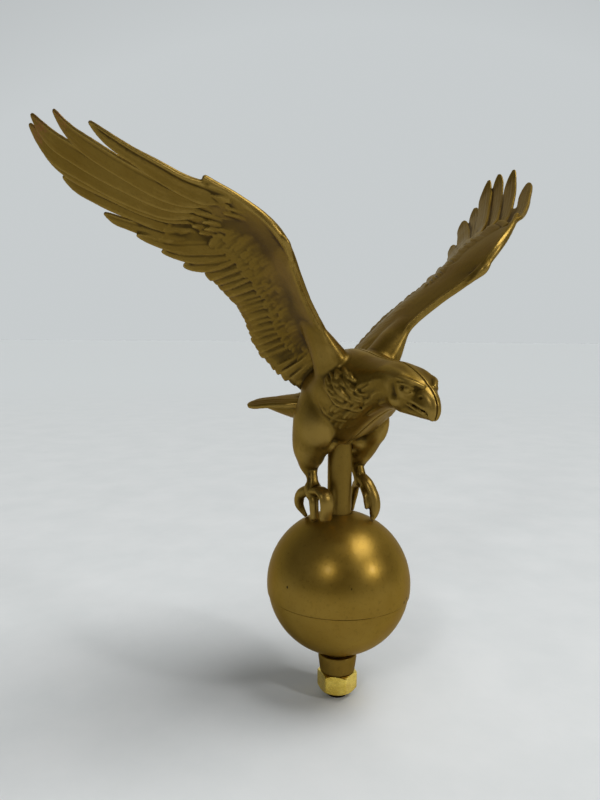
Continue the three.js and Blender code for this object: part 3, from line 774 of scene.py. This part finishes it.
LEFT_TOES = [
    [[14.8, 2.4, 54.4, 3.2, 3.3], [15.4, -2.4, 52.2, 3.3, 3.2], [16.2, -5.6, 48.2, 3.4, 3.1],
     [16.9, -7.4, 44, 3.4, 2.9], [16.8, -8.4, 40, 3.1, 2.6], [15.8, -9, 36.6, 2.3, 2.1],
     [14.4, -10, 34.4, 1.2, 1.1]],
    [[13.8, -1.6, 50, 1.9, 1.9], [13, -5.2, 46.4, 1.6, 1.7], [12.7, -6.6, 43, 1.5, 1.5],
     [12.6, -7, 40.4, 1.1, 1.1]],
    [[15, 5, 51, 2.6, 2.8], [16.4, 10, 48.6, 2.2, 2.4], [16.6, 12.6, 42, 2, 2.1], [15.4, 12, 34.6, 1, 1]],
]
# The flat cuff on the front of the ankle, and the ridges across it: their z, y and half width
CUFF = [
    [14.4, 2.2, 60.4, 2.0, 0.9], [14.5, 1.4, 57.2, 2.3, 1.0], [14.7, 0.4, 54.6, 2.6, 1.0],
    [14.9, -1.0, 52.4, 3.1, 1.1],
]
ANKLE_RIDGES = [[60.6, 2.0, 1.9], [57.6, 1.0, 2.2], [54.6, -0.4, 2.5]]
RIDGE_MIDDLE = 14.6
RIDGE_HALF = 0.4


def leg_form():
    return [limb(LEG, 90, 56), ellipsoid(*GROIN), ellipsoid(*BOSS, sides=60, rows=36)]


def foot(toes):
    shells = [limb(CUFF, 30, 20)]
    for z, y, half in ANKLE_RIDGES:
        stops = [
            (RIDGE_MIDDLE + a * half, y + 0.9 * abs(a), z + 0.3 * a, RIDGE_HALF, RIDGE_HALF)
            for a in (-1, 0, 1)
        ]
        shells.append(limb(stops, 16, 10, (0, 0, 1)))
    return shells + [limb(stops, 16 * len(stops), 28) for stops in toes]


# Tail: a fan of feathers over a thick wedge. Stops are y, half width, top, bottom, height of the rim

TAIL = np.array([
    [10, 12, 107, 80, 93], [20, 14, 103, 80.8, 92.4], [31, 20, 99.6, 81.6, 92], [40, 27.5, 97, 83.6, 92],
    [46, 30, 94.6, 88, 92],
])
TAIL_TIPS = [[5, 50.5, 91.2], [14.5, 50.5, 91.4], [24.5, 48.6, 91.6], [34, 44.5, 91.7]]
TAIL_STEPS = 40
TAIL_HALF, TAIL_THICK, TAIL_SLOPE, TAIL_BOW = 6.2, 2.1, 0.12, 4.8
SCALE_LENGTH = 5.6


def on_tail(y, u, high=0.0):
    """The tail's upper face at y, u from its middle to its rim."""
    y, u, high = alike(y, u, high)
    _, half, top, _, rim = (np.interp(y, TAIL[:, 0], TAIL[:, k]) for k in range(5))
    return np.stack([u * half, y, rim + (top - rim) * (1 - u**2) + high], -1)


def tail_wedge():
    rows = smooth(TAIL, np.linspace(0, 1, 50))
    u = np.linspace(1, -1, TAIL_STEPS)
    rings = []
    for y, half, top, bottom, rim in rows:
        upper, lower = (
            np.stack([side * u * half, np.full(TAIL_STEPS, y), rim + (edge - rim) * (1 - u**2)], 1)
            for side, edge in ((1, top), (-1, bottom))
        )
        rings.append(np.concatenate([upper, lower[1:-1]]))
    return skin(np.array(rings))


def tail_feathers():
    shells = []
    for k, tip in enumerate(TAIL_TIPS):
        root = np.array([2 + 2.8 * k, 20, 98.6 - 1.4 * k])
        line = np.array(tip) - root
        lift = unit(np.array([0.15 * k, 0.15, 1]))
        across = unit(np.cross(lift, unit(line)))
        middle = root + ALONG[:, None] * line + (TAIL_BOW * ALONG * (1 - ALONG))[:, None] * lift
        wide = TAIL_HALF * rounded(0.78) * (0.7 + 0.3 * ease(ALONG, 0, 0.3)) * (1 - 0.12 * ALONG)
        thick = TAIL_THICK * (1 - 0.45 * ALONG)
        shells.append(feather(middle, across, lift, wide, thick, TAIL_SLOPE, quill=0.0, vane=0.12))
    dice = np.random.default_rng(5)
    for y in np.arange(14, 38, 3.6):
        for u in np.arange(0.06, 0.92, 0.17):
            jog = dice.uniform(-1, 1, 3)
            spot = (y + jog[0], u + 0.04 * jog[1])
            tip = (spot[0] + SCALE_LENGTH, spot[1] + 0.02)
            shells.append(scale(on_tail, spot, tip, 2.1 + 0.3 * jog[2], 0.8, tilt=0.3))
    return shells


# Casting: broad forms are blended first, then finer shells join them and the other parts' places are cut out


def placed(name, data):
    made = bpy.data.objects.new(name, data)
    bpy.context.scene.collection.objects.link(made)
    return made


def mesh_object(name, points, faces):
    mesh = bpy.data.meshes.new(name)
    mesh.from_pydata(np.asarray(points, float).tolist(), [], faces)
    mesh.update()
    return placed(name, mesh)


def gathered(name, shells):
    """One object that holds all the shells."""
    points, faces, start = [], [], 0
    for spots, polygons in shells:
        points.append(spots)
        faces += [[start + i for i in polygon] for polygon in polygons]
        start += len(spots)
    return mesh_object(name, np.concatenate(points), faces)


def modify(made, kind, **settings):
    """Replaces an object's mesh by what one modifier makes of it."""
    modifier = made.modifiers.new("change", kind)
    for name, value in settings.items():
        setattr(modifier, name, value)
    done = bpy.data.meshes.new_from_object(made.evaluated_get(bpy.context.evaluated_depsgraph_get()))
    made.modifiers.clear()
    old = made.data
    made.data = done
    bpy.data.meshes.remove(old)


def one_skin(made, voxel):
    modify(made, "REMESH", mode="VOXEL", voxel_size=voxel, adaptivity=0)


def join(made, shells):
    """Adds shells to an object's mesh."""
    working = bmesh.new()
    working.from_mesh(made.data)
    extra = gathered("extra", shells)
    working.from_mesh(extra.data)
    working.to_mesh(made.data)
    working.free()
    bpy.data.objects.remove(extra)


def cut_away(made, shells):
    for k, shell in enumerate(shells):
        cutter = gathered(f"cutter {k}", [shell])
        tidy(cutter)
        modify(made, "BOOLEAN", operation="DIFFERENCE", solver="MANIFOLD", object=cutter)
        bpy.data.objects.remove(cutter)


def corner_rows(mesh, what):
    """A row for each corner: its place for co, or the way it faces for normal."""
    values = np.empty(len(mesh.vertices) * 3)
    mesh.vertices.foreach_get(what, values)
    return values.reshape(-1, 3)


def move_corners(mesh, spots):
    mesh.vertices.foreach_set("co", spots.ravel())
    mesh.update()


def averager(mesh):
    """A function that gives, for every corner, the average of a value at its neighbours."""
    pairs = np.empty(len(mesh.edges) * 2, np.int32)
    mesh.edges.foreach_get("vertices", pairs)
    a, b = pairs.reshape(-1, 2).T
    count = len(mesh.vertices)
    links = np.maximum(np.bincount(a, minlength=count) + np.bincount(b, minlength=count), 1)[:, None]

    def average(values):
        return np.stack([
            np.bincount(a, values[b, k], count) + np.bincount(b, values[a, k], count)
            for k in range(values.shape[1])
        ], 1) / links

    return average


def even_out(made, pull_at, rounds):
    """Draws each corner towards its neighbours, by the share that pull_at gives for its place."""
    spots = corner_rows(made.data, "co")
    average = averager(made.data)
    pull = pull_at(spots)[:, None]
    for _ in range(rounds):
        spots += pull * (average(spots) - spots)
    move_corners(made.data, spots)


def form_pull(spots):
    """Joined forms run into each other: most at the body, less at the face and out along the wing."""
    face = ease(-spots[:, 1], 52, 60)
    out = ease(np.abs(spots[:, 0]), 30, 45)
    return 0.5 * (1 - 0.8 * face) * (1 - 0.8 * out)


def edge_pull(spots):
    """Only the wing's front edge is evened out, where several shells meet."""
    apart = np.full(len(spots), np.inf)
    for spot in wing_frame(np.linspace(0.1, 0.86, 70))[0]:
        apart = np.minimum(apart, ((spots - spot) ** 2).sum(1))
    return 0.5 * (1 - ease(np.sqrt(apart), 2.5, 4.5))


def press(made, hollows):
    """Presses soft hollows into the surface."""
    spots = corner_rows(made.data, "co")
    normals = corner_rows(made.data, "normal")
    for x, y, z, reach, depth in hollows:
        near = np.exp(-((spots - (x, y, z)) ** 2).sum(1) / reach**2)
        spots -= (depth * near)[:, None] * normals
    move_corners(made.data, spots)


def thin(made, faces):
    """Lowers the number of triangles where the surface is plain."""
    made.data.calc_loop_triangles()
    count = len(made.data.loop_triangles)
    if count > faces:
        modify(made, "DECIMATE", ratio=faces / count)


def store_relief(mesh):
    """Keeps how far each corner stands proud of its surroundings as the attribute relief, from -1 to 1."""
    spots = corner_rows(mesh, "co")
    average = averager(mesh)
    flat = spots
    for _ in range(RELIEF_REACH):
        flat = average(flat)
    proud = ((spots - flat) * corner_rows(mesh, "normal")).sum(1)
    relief = np.clip(proud / (RELIEF_DEPTH * MM), -1, 1)
    mesh.attributes.new("relief", "FLOAT", "POINT").data.foreach_set("value", relief.astype(np.float32))


def stand(made):
    """Turns millimetres from the ball's middle into metres above the stud's end."""
    made.data.transform(Matrix.Translation((0, 0, BALL_HEIGHT * MM)) @ Matrix.Scale(MM, 4))
    made.data.update()


def shade_smooth(mesh):
    mesh.polygons.foreach_set("use_smooth", np.ones(len(mesh.polygons), bool))


def rod_bore():
    return skin(np.array([ring(BORE_RADIUS, z, 96) for z in (0.0, ROD_TOP + FIT)]))


def ball_clearance():
    return ellipsoid([0, 0, 0], [BALL_RADIUS + FIT] * 3, 128, 90)


# The two castings differ in their toes, in the knob at the wrist, and in their primaries: how high the tips
# stand, how broad each is, where it begins to round off, how much of its slope it keeps, and how far the web
# between two of them reaches along each. first changes values of the first primary.

RIGHT = {
    "side": -1,
    "toes": RIGHT_TOES,
    "knob": [[50.5, -47, 162.4, 0.4, 0.4], [54.2, -48.8, 167.8, 1.6, 1.6], [57.5, -48.6, 172, 0.4, 0.4]],
    "hand": {
        "tip_lift": [-0.4, -2.4, -2.8, -1.6, 0, 0, 0],
        "first": {},
        "round_from": 0.8,
        "broad": [1, 1, 1, 1, 1, 1, 1],
        "tilt": 1,
        "web_ends": [(0.56, 0.36), (0.62, 0.51), (0.55, 0.55), (0.54, 0.70), (0.66, 0.76), (0.40, 0.42)],
    },
}
LEFT = {
    "side": 1,
    "toes": LEFT_TOES,
    "knob": [
        [45.5, -42.8, 155.8, 0.6, 0.6], [50.4, -46.4, 161.8, 2.4, 2.4], [52.8, -47.6, 164.8, 2, 2],
        [56, -48, 169, 0.6, 0.6],
    ],
    "hand": {
        "tip_lift": [0.8, 3.2, 2.3, 3.4, -1.9, -1.3, -1.6],
        "first": {"root": 0.05, "bow": -1.6, "half": (6.6, 5.2, 4.6)},
        "round_from": 0.87,
        "broad": [1, 1.0, 1.02, 1.0, 1.2, 1.25, 1.3],
        "tilt": 0.5,
        "web_ends": [(0.64, 0.52), (0.60, 0.54), (0.68, 0.68), (0.60, 0.77), (0.78, 0.90), (0.46, 0.70)],
    },
}


def casting(name, side, toes, knob, hand):
    forms = [trunk(), tail_wedge(), wing_core(), limb(SHOULDER, 40, 40, (1, 0, -1)), limb(knob, 30, 16)]
    forms += leg_form() + head_forms()
    made = gathered(name, forms)
    one_skin(made, FORM_VOXEL)
    even_out(made, form_pull, BLEND_ROUNDS)
    press(made, HOLLOWS)
    cut_away(made, [limb(SOCKET, 40, 20), ellipsoid(*NOSTRIL)])
    join(made, head_marks() + plumage() + foot(toes) + tail_feathers() + plumed_wing(hand))
    one_skin(made, VOXEL)
    cut_away(made, [block(*BEYOND), limb(MOUTH, 50, 20), rod_bore(), ball_clearance()])
    one_skin(made, VOXEL)
    modify(made, "SMOOTH", factor=0.5, iterations=1)
    even_out(made, edge_pull, EDGE_ROUNDS)
    thin(made, CASTING_FACES)
    if side < 0:
        made.data.transform(Matrix.Scale(-1, 4, (1, 0, 0)))
        made.data.flip_normals()
    stand(made)
    store_relief(made.data)
    shade_smooth(made.data)
    return made


# Turned parts, and the nut


def tidy(made):
    """Joins corners that meet on the axis and turns the faces outwards."""
    working = bmesh.new()
    working.from_mesh(made.data)
    bmesh.ops.remove_doubles(working, verts=working.verts, dist=1e-4)
    bmesh.ops.dissolve_degenerate(working, edges=working.edges, dist=1e-5)
    bmesh.ops.recalc_face_normals(working, faces=working.faces)
    working.to_mesh(made.data)
    working.free()


def wrapped(name, radius, height, bevel):
    """A piece with a closed profile all round the axis. radius has a row for each angle and height a number
    for each of the profile's points. Sharp edges are rounded a little."""
    sides, count = radius.shape
    angle = all_round(sides)[:, None]
    points = np.stack(alike(radius * np.cos(angle), radius * np.sin(angle), height), -1).reshape(-1, 3)
    faces = []
    for i in range(sides):
        a, b = i * count, ((i + 1) % sides) * count
        for j in range(count):
            k = (j + 1) % count
            faces.append([a + j, b + j, b + k, a + k])
    made = mesh_object(name, points, faces)
    tidy(made)
    modify(made, "BEVEL", width=bevel, segments=3, limit_method="ANGLE", angle_limit=SHARP)
    stand(made)
    shade_smooth(made.data)
    made.data.attributes.new("relief", "FLOAT", "POINT")
    return made


def turned(name, profile, sides, bevel):
    """A piece turned from a closed loop of radius and height."""
    radius, height = np.array(profile, float).T
    return wrapped(name, np.broadcast_to(radius, (sides, len(radius))), height, bevel)


def arc(radius, start, end, steps):
    """Points on the ball from one height to another."""
    angle = np.linspace(math.asin(start / radius), math.asin(end / radius), steps)
    return [[radius * math.cos(a), radius * math.sin(a)] for a in angle]


def ball_upper():
    top = math.sqrt(BALL_RADIUS**2 - BORE_RADIUS**2)
    profile = [[BORE_RADIUS, -SEAM_DROP], *arc(BALL_RADIUS, -SEAM_DROP, top, 90)]
    return turned("ball_upper_shell", profile, 180, 0.25)


def ball_lower():
    radius = BALL_RADIUS - LIP_STEP
    rim = -SEAM_DROP - FIT
    neck = -math.sqrt(radius**2 - NECK_RADIUS**2)
    foot = -BALL_RADIUS - NECK_DROP
    profile = [[BORE_RADIUS, foot], [NECK_RADIUS, foot], *arc(radius, neck, rim, 70), [BORE_RADIUS, rim]]
    return turned("ball_lower_shell", profile, 180, 0.2)


def rod():
    lead, crest_flat, top_chamfer, plain_rings = 1.0, 0.16, 0.6, 24
    top = NUT_TOP - lead
    root_radius = ROD_RADIUS - THREAD_DEPTH
    profile = [[0, STUD_END], [ROD_RADIUS - lead, STUD_END]]
    for i in range(int((top - STUD_END - lead) / THREAD_PITCH)):
        root = STUD_END + lead + i * THREAD_PITCH
        peak = root + THREAD_PITCH / 2
        profile += [[root_radius, root], [ROD_RADIUS, peak - crest_flat], [ROD_RADIUS, peak + crest_flat]]
    profile.append([ROD_RADIUS, top])
    profile += [[ROD_RADIUS, z] for z in np.linspace(top + 8, ROD_TOP - top_chamfer, plain_rings)]
    profile += [[ROD_RADIUS - top_chamfer, ROD_TOP], [0, ROD_TOP]]
    return turned("rod_turned", profile, 96, 0.12)


def collar():
    shoulder = 2.5
    profile = [
        [BORE_RADIUS, COLLAR_FOOT], [COLLAR_FOOT_RADIUS, COLLAR_FOOT],
        [COLLAR_FOOT_RADIUS + 0.1, COLLAR_FOOT + 0.8], [COLLAR_TOP_RADIUS, COLLAR_TOP - shoulder],
        [COLLAR_TOP_RADIUS, COLLAR_TOP], [BORE_RADIUS, COLLAR_TOP],
    ]
    return turned("collar_turned", profile, 128, 0.4)


def nut():
    """A hexagon with its corners turned off by a cone at each end."""
    sides, slope = 180, 1.1
    face = NUT_ACROSS_FLATS / 2 - 0.1
    tip = NUT_ACROSS_FLATS / math.sqrt(3) + 0.15
    hexagon = NUT_ACROSS_FLATS / 2 / np.cos(np.mod(all_round(sides) - NUT_TURN, np.pi / 3) - np.pi / 6)
    depths = np.array([0, 0.12, 0.25, 0.4, 0.6, 0.8, 1.0])
    cones = [np.minimum(hexagon, face + (tip - face) * depth) for depth in depths]
    bore = np.full(sides, BORE_RADIUS)
    rise = slope * depths
    height = [NUT_FOOT, *(NUT_FOOT + rise), *(NUT_TOP - rise[::-1]), NUT_TOP]
    return wrapped("nut_hexagon", np.stack([bore, *cones, *cones[::-1], bore], 1), height, 0.15)


# Materials


def node(tree, kind, inputs, **settings):
    """A node with its inputs, each a socket to link or a value to set, and its settings."""
    made = tree.nodes.new("ShaderNode" + kind)
    for name, value in settings.items():
        setattr(made, name, value)
    feed(tree, made, inputs)
    return made


def feed(tree, made, inputs):
    for name, value in inputs.items():
        if isinstance(value, bpy.types.NodeSocket):
            tree.links.new(value, made.inputs[name])
        else:
            made.inputs[name].default_value = value


def new_material(name):
    material = bpy.data.materials.new(name)
    material.use_nodes = True
    tree = material.node_tree
    tree.nodes.clear()
    shader = node(tree, "BsdfPrincipled", {})
    node(tree, "OutputMaterial", {"Surface": shader.outputs["BSDF"]})
    return material, tree, shader, node(tree, "TexCoord", {}).outputs["Object"]


def noise(tree, place, size, detail=3.0, rough=0.55, output="Fac"):
    """Noise with features about size metres across."""
    inputs = {"Vector": place, "Scale": 1 / size, "Detail": detail, "Roughness": rough}
    return node(tree, "TexNoise", inputs).outputs[output]


def remap(tree, value, low, high, start=0.0, end=1.0):
    inputs = {"Value": value, "From Min": low, "From Max": high, "To Min": start, "To Max": end}
    return node(tree, "MapRange", inputs).outputs["Result"]


def maths(tree, operation, a, b):
    return node(tree, "Math", {0: a, 1: b}, operation=operation).outputs["Value"]


def vectors(tree, operation, *values):
    return node(tree, "VectorMath", dict(enumerate(values)), operation=operation).outputs


def gather(tree, operation, values):
    """All the values in one, brought together two by two."""
    total = values[0]
    for value in values[1:]:
        total = maths(tree, operation, total, value)
    return total


def mix(tree, factor, a, b):
    a, b = ((*colour, 1) if isinstance(colour, tuple) else colour for colour in (a, b))
    return node(tree, "Mix", {"Factor": factor, 6: a, 7: b}, data_type="RGBA").outputs[2]


def bump(tree, shader, parts):
    """Adds up heights, each a (value, metres) pair, and gives them to the shader."""
    total = gather(tree, "ADD", [maths(tree, "MULTIPLY", value, metres) for value, metres in parts])
    made = node(tree, "Bump", {"Strength": 1, "Distance": 1, "Height": total})
    tree.links.new(made.outputs["Normal"], shader.inputs["Normal"])


def shaken(tree, place, size, reach):
    """The place, pushed about by noise, so that shapes drawn from it come out ragged."""
    push = noise(tree, place, size, 2.0, output="Color")
    return vectors(tree, "MULTIPLY_ADD", push, (reach, reach, reach), place)["Vector"]


def near_points(tree, place, spots, radius):
    """1 well within radius of any of the spots, and 0 beyond it."""
    apart = [vectors(tree, "DISTANCE", place, spot)["Value"] for spot in spots]
    return gather(tree, "MAXIMUM", [remap(tree, value, radius * 0.6, radius, 1.0, 0.0) for value in apart])


def specks(tree, place, spacing, size, share):
    """Ragged dots about size metres across, in a share of the cells."""
    spot = shaken(tree, place, size, size * 1.5)
    cells = node(tree, "TexVoronoi", {"Vector": spot, "Scale": 1 / spacing}).outputs
    dot = remap(tree, cells["Distance"], size / spacing * 0.3, size / spacing * 0.55, 1.0, 0.0)
    pick = node(tree, "SeparateColor", {"Color": cells["Color"]}).outputs["Red"]
    return maths(tree, "MULTIPLY", dot, maths(tree, "GREATER_THAN", pick, 1 - share))


def toned(colour, tone):
    return tuple(tone * part for part in colour)


# Colours and marks. Sizes, depths and places are in metres. A span is the low and high value of a noise
# between which a look changes.

MID = (0.175, 0.104, 0.0145)
# DARK is used for the paint's dark grain and for the painted shade in recesses.
DARK = (0.045, 0.026, 0.003)
LIGHT = (0.215, 0.135, 0.024)
# The brighter gold painted onto raised crests as a highlight.
CREST_HIGHLIGHT = (0.33, 0.215, 0.050)
UNDERCOAT = (0.26, 0.115, 0.045)
NEAR_BLACK = (0.014, 0.009, 0.003)
SHEEN = (0.64, 0.50, 0.23)
BRASS, BRASS_STAIN = (0.88, 0.66, 0.13), (0.68, 0.47, 0.07)
FLOOR, FLOOR_LIGHT, FLOOR_FAR_PAINTED_LIGHT = (0.70, 0.725, 0.73), (0.74, 0.76, 0.765), (0.74, 0.775, 0.785)
BACKDROP = (0.575, 0.605, 0.615)
ROOM = (0.11, 0.11, 0.105)
CLOUD_SIZE, GRAIN_SIZE, FINE_SIZE = 0.022, 0.0016, 0.00045
GRAIN_DEPTH, FINE_DEPTH = 0.00005, 0.00001
TONE_SPAN, GRAIN_SPAN, GLOSS_SPAN, BARE_SPAN = (0.35, 0.68), (0.55, 0.8), (0.3, 0.7), (0.42, 0.6)
GRAIN_SHARE, RECESS_SHADE_SHARE, CREST_HIGHLIGHT_SHARE, DARKER_BELOW_SHARE = 0.4, 0.95, 0.6, 0.92
SPECK_SPACING, SPECK_SIZE, SPECK_SHARE = 0.009, 0.0007, 0.12
WORN_TIPS = [(-0.1345, 0.0195, 0.2898), (-0.1405, 0.0400, 0.2915), (-0.1400, 0.0490, 0.2895)]
WORN_REACH = 0.0085
BALL_CHIPS = [
    (-0.0120, -0.0345, 0.0735), (-0.0075, -0.0365, 0.0720), (-0.0270, -0.0265, 0.0650),
    (0.0205, -0.0318, 0.0600), (0.0232, -0.0300, 0.0610), (-0.0352, -0.0110, 0.0700),
]
CHIP_REACH = 0.0008


def paint(name, tone, rough, dents, worn=(), chips=(), darker_below=0.0):
    """Old bronze-gold paint: uneven colour, painted shade darkening its recesses, a painted highlight
    lightening its raised crests, specks and a soft gloss. dents is how deep its uneven surface goes. worn and
    chips are places, and the last argument is the height below which the colour is made darker."""
    material, tree, shader, place = new_material(name)
    relief = node(tree, "Attribute", {}, attribute_name="relief").outputs["Fac"]
    cloud = noise(tree, place, CLOUD_SIZE, 4.0)
    grain = noise(tree, place, GRAIN_SIZE, 4.0, 0.65)
    fine = noise(tree, place, FINE_SIZE, 2.0)
    colour = mix(tree, remap(tree, cloud, *TONE_SPAN), toned(MID, tone), toned(LIGHT, tone))
    colour = mix(tree, remap(tree, grain, *GRAIN_SPAN, 0.0, GRAIN_SHARE), colour, DARK)
    # Painted shade: where the surface lies sunk below its surroundings, the colour darkens towards DARK.
    sunk = maths(tree, "ADD", relief, maths(tree, "MULTIPLY", grain, 0.2))
    recess_shade = remap(tree, sunk, 0.04, -0.5, 0.0, RECESS_SHADE_SHARE)
    colour = mix(tree, recess_shade, colour, DARK)
    # Painted highlight: raised crests are lightened towards a brighter gold.
    proud = maths(tree, "SUBTRACT", relief, maths(tree, "MULTIPLY", grain, 0.4))
    colour = mix(tree, remap(tree, proud, 0.05, 0.6, 0.0, CREST_HIGHLIGHT_SHARE), colour, CREST_HIGHLIGHT)
    if worn:
        bare = near_points(tree, shaken(tree, place, 0.004, 0.006), worn, WORN_REACH)
        bare = maths(tree, "MULTIPLY", bare, remap(tree, grain, *BARE_SPAN))
        colour = mix(tree, bare, colour, UNDERCOAT)
    colour = mix(tree, specks(tree, place, SPECK_SPACING, SPECK_SIZE, SPECK_SHARE), colour, NEAR_BLACK)
    if chips:
        chip = near_points(tree, shaken(tree, place, 0.0009, 0.0012), chips, CHIP_REACH)
        colour = mix(tree, chip, colour, NEAR_BLACK)
    # Darker towards the bottom: below the given height, the colour turns near black.
    if darker_below:
        height = node(tree, "SeparateXYZ", {"Vector": place}).outputs["Z"]
        colour = mix(tree, remap(tree, height, darker_below, darker_below * 0.8, 0.0, DARKER_BELOW_SHARE), colour, NEAR_BLACK)
    gloss = remap(tree, cloud, *GLOSS_SPAN, rough - 0.05, rough + 0.06)
    feed(tree, shader, {
        "Base Color": colour,
        "Roughness": maths(tree, "ADD", gloss, maths(tree, "MULTIPLY", recess_shade, 0.15)),
        "Metallic": 0.82,
        "Specular IOR Level": 0.25,
        "Specular Tint": (*SHEEN, 1),
        "Coat Weight": 0.06,
        "Coat Roughness": 0.2,
    })
    bump(tree, shader, [(cloud, dents), (grain, GRAIN_DEPTH), (fine, FINE_DEPTH)])
    return material


def brass():
    """Bright brass with stains and fine marks of cutting that run round it."""
    material, tree, shader, place = new_material("bright_brass")
    flattened = node(tree, "Mapping", {"Vector": place, "Scale": (1, 1, 14)}).outputs["Vector"]
    cuts = noise(tree, flattened, 0.004)
    stain = noise(tree, place, 0.005)
    feed(tree, shader, {
        "Base Color": mix(tree, remap(tree, stain, 0.4, 0.7), BRASS, BRASS_STAIN),
        "Roughness": remap(tree, cuts, 0.3, 0.7, 0.2, 0.34),
        "Metallic": 1.0,
    })
    bump(tree, shader, [(cuts, 0.00003), (stain, 0.00004)])
    return material


def pale_floor():
    material, tree, shader, place = new_material("pale_floor")
    cloud = noise(tree, place, 0.06, 5.0, 0.6)
    fibre = noise(tree, place, 0.004)
    near = mix(tree, remap(tree, cloud, 0.35, 0.65), FLOOR, FLOOR_LIGHT)
    # Painted light: the floor's colour turns lighter with distance, so that it meets the brighter backdrop.
    far = remap(tree, vectors(tree, "LENGTH", place)["Value"], 0.4, 2.5)
    feed(tree, shader, {
        "Base Color": mix(tree, far, near, FLOOR_FAR_PAINTED_LIGHT), "Roughness": 0.9, "Specular IOR Level": 0.2,
    })
    bump(tree, shader, [(cloud, 0.0003), (fibre, 0.00005)])
    return material


# Stage, light and camera

PICTURE_WIDTH, PICTURE_HEIGHT = 600, 800
FOCAL_PIXELS = 650
AZIMUTH, ELEVATION, ROLL = math.radians(-30), math.radians(21), -0.013013
DISTANCE = 0.36185
BALL_AT = (338.26, 580.78)
SENSOR = 36
LAMP_DISTANCE, LAMP_AIM = 1.3, (0, 0, 0.14)
FLOOR_RADIUS = 30.0
AWAY = np.array([
    math.sin(AZIMUTH) * math.cos(ELEVATION), -math.cos(AZIMUTH) * math.cos(ELEVATION), math.sin(ELEVATION),
])


def camera():
    """The photograph's camera: it looks past the ball, which lies low in the picture."""
    ahead = -AWAY
    right = unit(np.cross(ahead, (0, 0, 1)))
    down = np.cross(ahead, right)
    to_ball = unit(np.array([BALL_AT[0] - PICTURE_WIDTH / 2, BALL_AT[1] - PICTURE_HEIGHT / 2, FOCAL_PIXELS]))
    seen_right = unit(np.cross((math.sin(ROLL), math.cos(ROLL), 0), to_ball))
    seen_down = np.cross(to_ball, seen_right)
    turn = np.stack([seen_right, seen_down, to_ball], 1) @ np.stack([right, down, ahead])
    data = bpy.data.cameras.new("camera")
    data.sensor_width = SENSOR
    data.lens = FOCAL_PIXELS / PICTURE_HEIGHT * SENSOR
    data.clip_start = 0.01
    made = placed("camera", data)
    spot = DISTANCE * AWAY + np.array([0, 0, BALL_HEIGHT * MM])
    turned_to = Matrix(np.stack([turn[0], -turn[1], -turn[2]], 1).tolist()).to_4x4()
    made.matrix_world = Matrix.Translation(Vector(spot)) @ turned_to
    bpy.context.scene.camera = made


def lamp(name, kind, toward, strength, size):
    """A lamp that shines on the object from a direction. size is a disc's width in metres or a sun's in
    degrees."""
    data = bpy.data.lights.new(name, kind)
    data.energy = strength
    if kind == "AREA":
        data.shape = "DISK"
        data.size = size
    else:
        data.angle = math.radians(size)
    way = Vector(toward).normalized()
    spot = way * LAMP_DISTANCE + Vector(LAMP_AIM)
    facing = way.to_track_quat("Z", "Y").to_matrix().to_4x4()
    placed(name, data).matrix_world = Matrix.Translation(spot) @ facing


def lights():
    lamp("key", "SUN", (0.30, -0.25, 0.92), 2.15, 40)
    lamp("lamp_left", "AREA", (-0.633, -0.556, 0.538), 1.8, 0.16)
    lamp("lamp_right", "AREA", (0.488, -0.770, 0.406), 3.0, 0.16)


def world():
    """A pale backdrop all round the far side of the object and a dimmer room on the camera's side."""
    made = bpy.data.worlds.new("studio")
    made.use_nodes = True
    tree = made.node_tree
    place = node(tree, "TexCoord", {}).outputs["Generated"]
    facing = vectors(tree, "DOT_PRODUCT", place, tuple(-AWAY))["Value"]
    feed(tree, tree.nodes["Background"], {"Color": mix(tree, remap(tree, facing, 0.05, 0.7), ROOM, BACKDROP)})
    bpy.context.scene.world = made


def floor():
    sides = 64
    made = mesh_object("floor", ring(FLOOR_RADIUS, 0.0, sides), [list(range(sides))])
    made.data.materials.append(pale_floor())


def dress(made, node_name, material):
    made.data.materials.clear()
    made.data.materials.append(material)
    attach(made, "root")
    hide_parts(node_name)


def main():
    casting_paint = paint("casting_paint", 0.92, 0.36, 0.0004, worn=WORN_TIPS)
    ball_paint = paint("ball_paint", 1.38, 0.36, 0.00012, chips=BALL_CHIPS)
    rod_paint = paint("rod_paint", 1.0, 0.40, 0.0002, darker_below=0.0037)
    collar_paint = paint("collar_paint", 1.15, 0.42, 0.0002)
    dress(casting("eagle_right_casting", **RIGHT), "eagle_right_half", casting_paint)
    dress(casting("eagle_left_casting", **LEFT), "eagle_left_half", casting_paint)
    dress(rod(), "spindle_rod", rod_paint)
    dress(ball_upper(), "ball_upper_half", ball_paint)
    dress(ball_lower(), "ball_lower_half", ball_paint)
    dress(collar(), "lower_collar", collar_paint)
    dress(nut(), "hex_nut", brass())
    floor()
    lights()
    world()
    camera()
    bpy.context.scene.view_settings.view_transform = "Standard"


main()
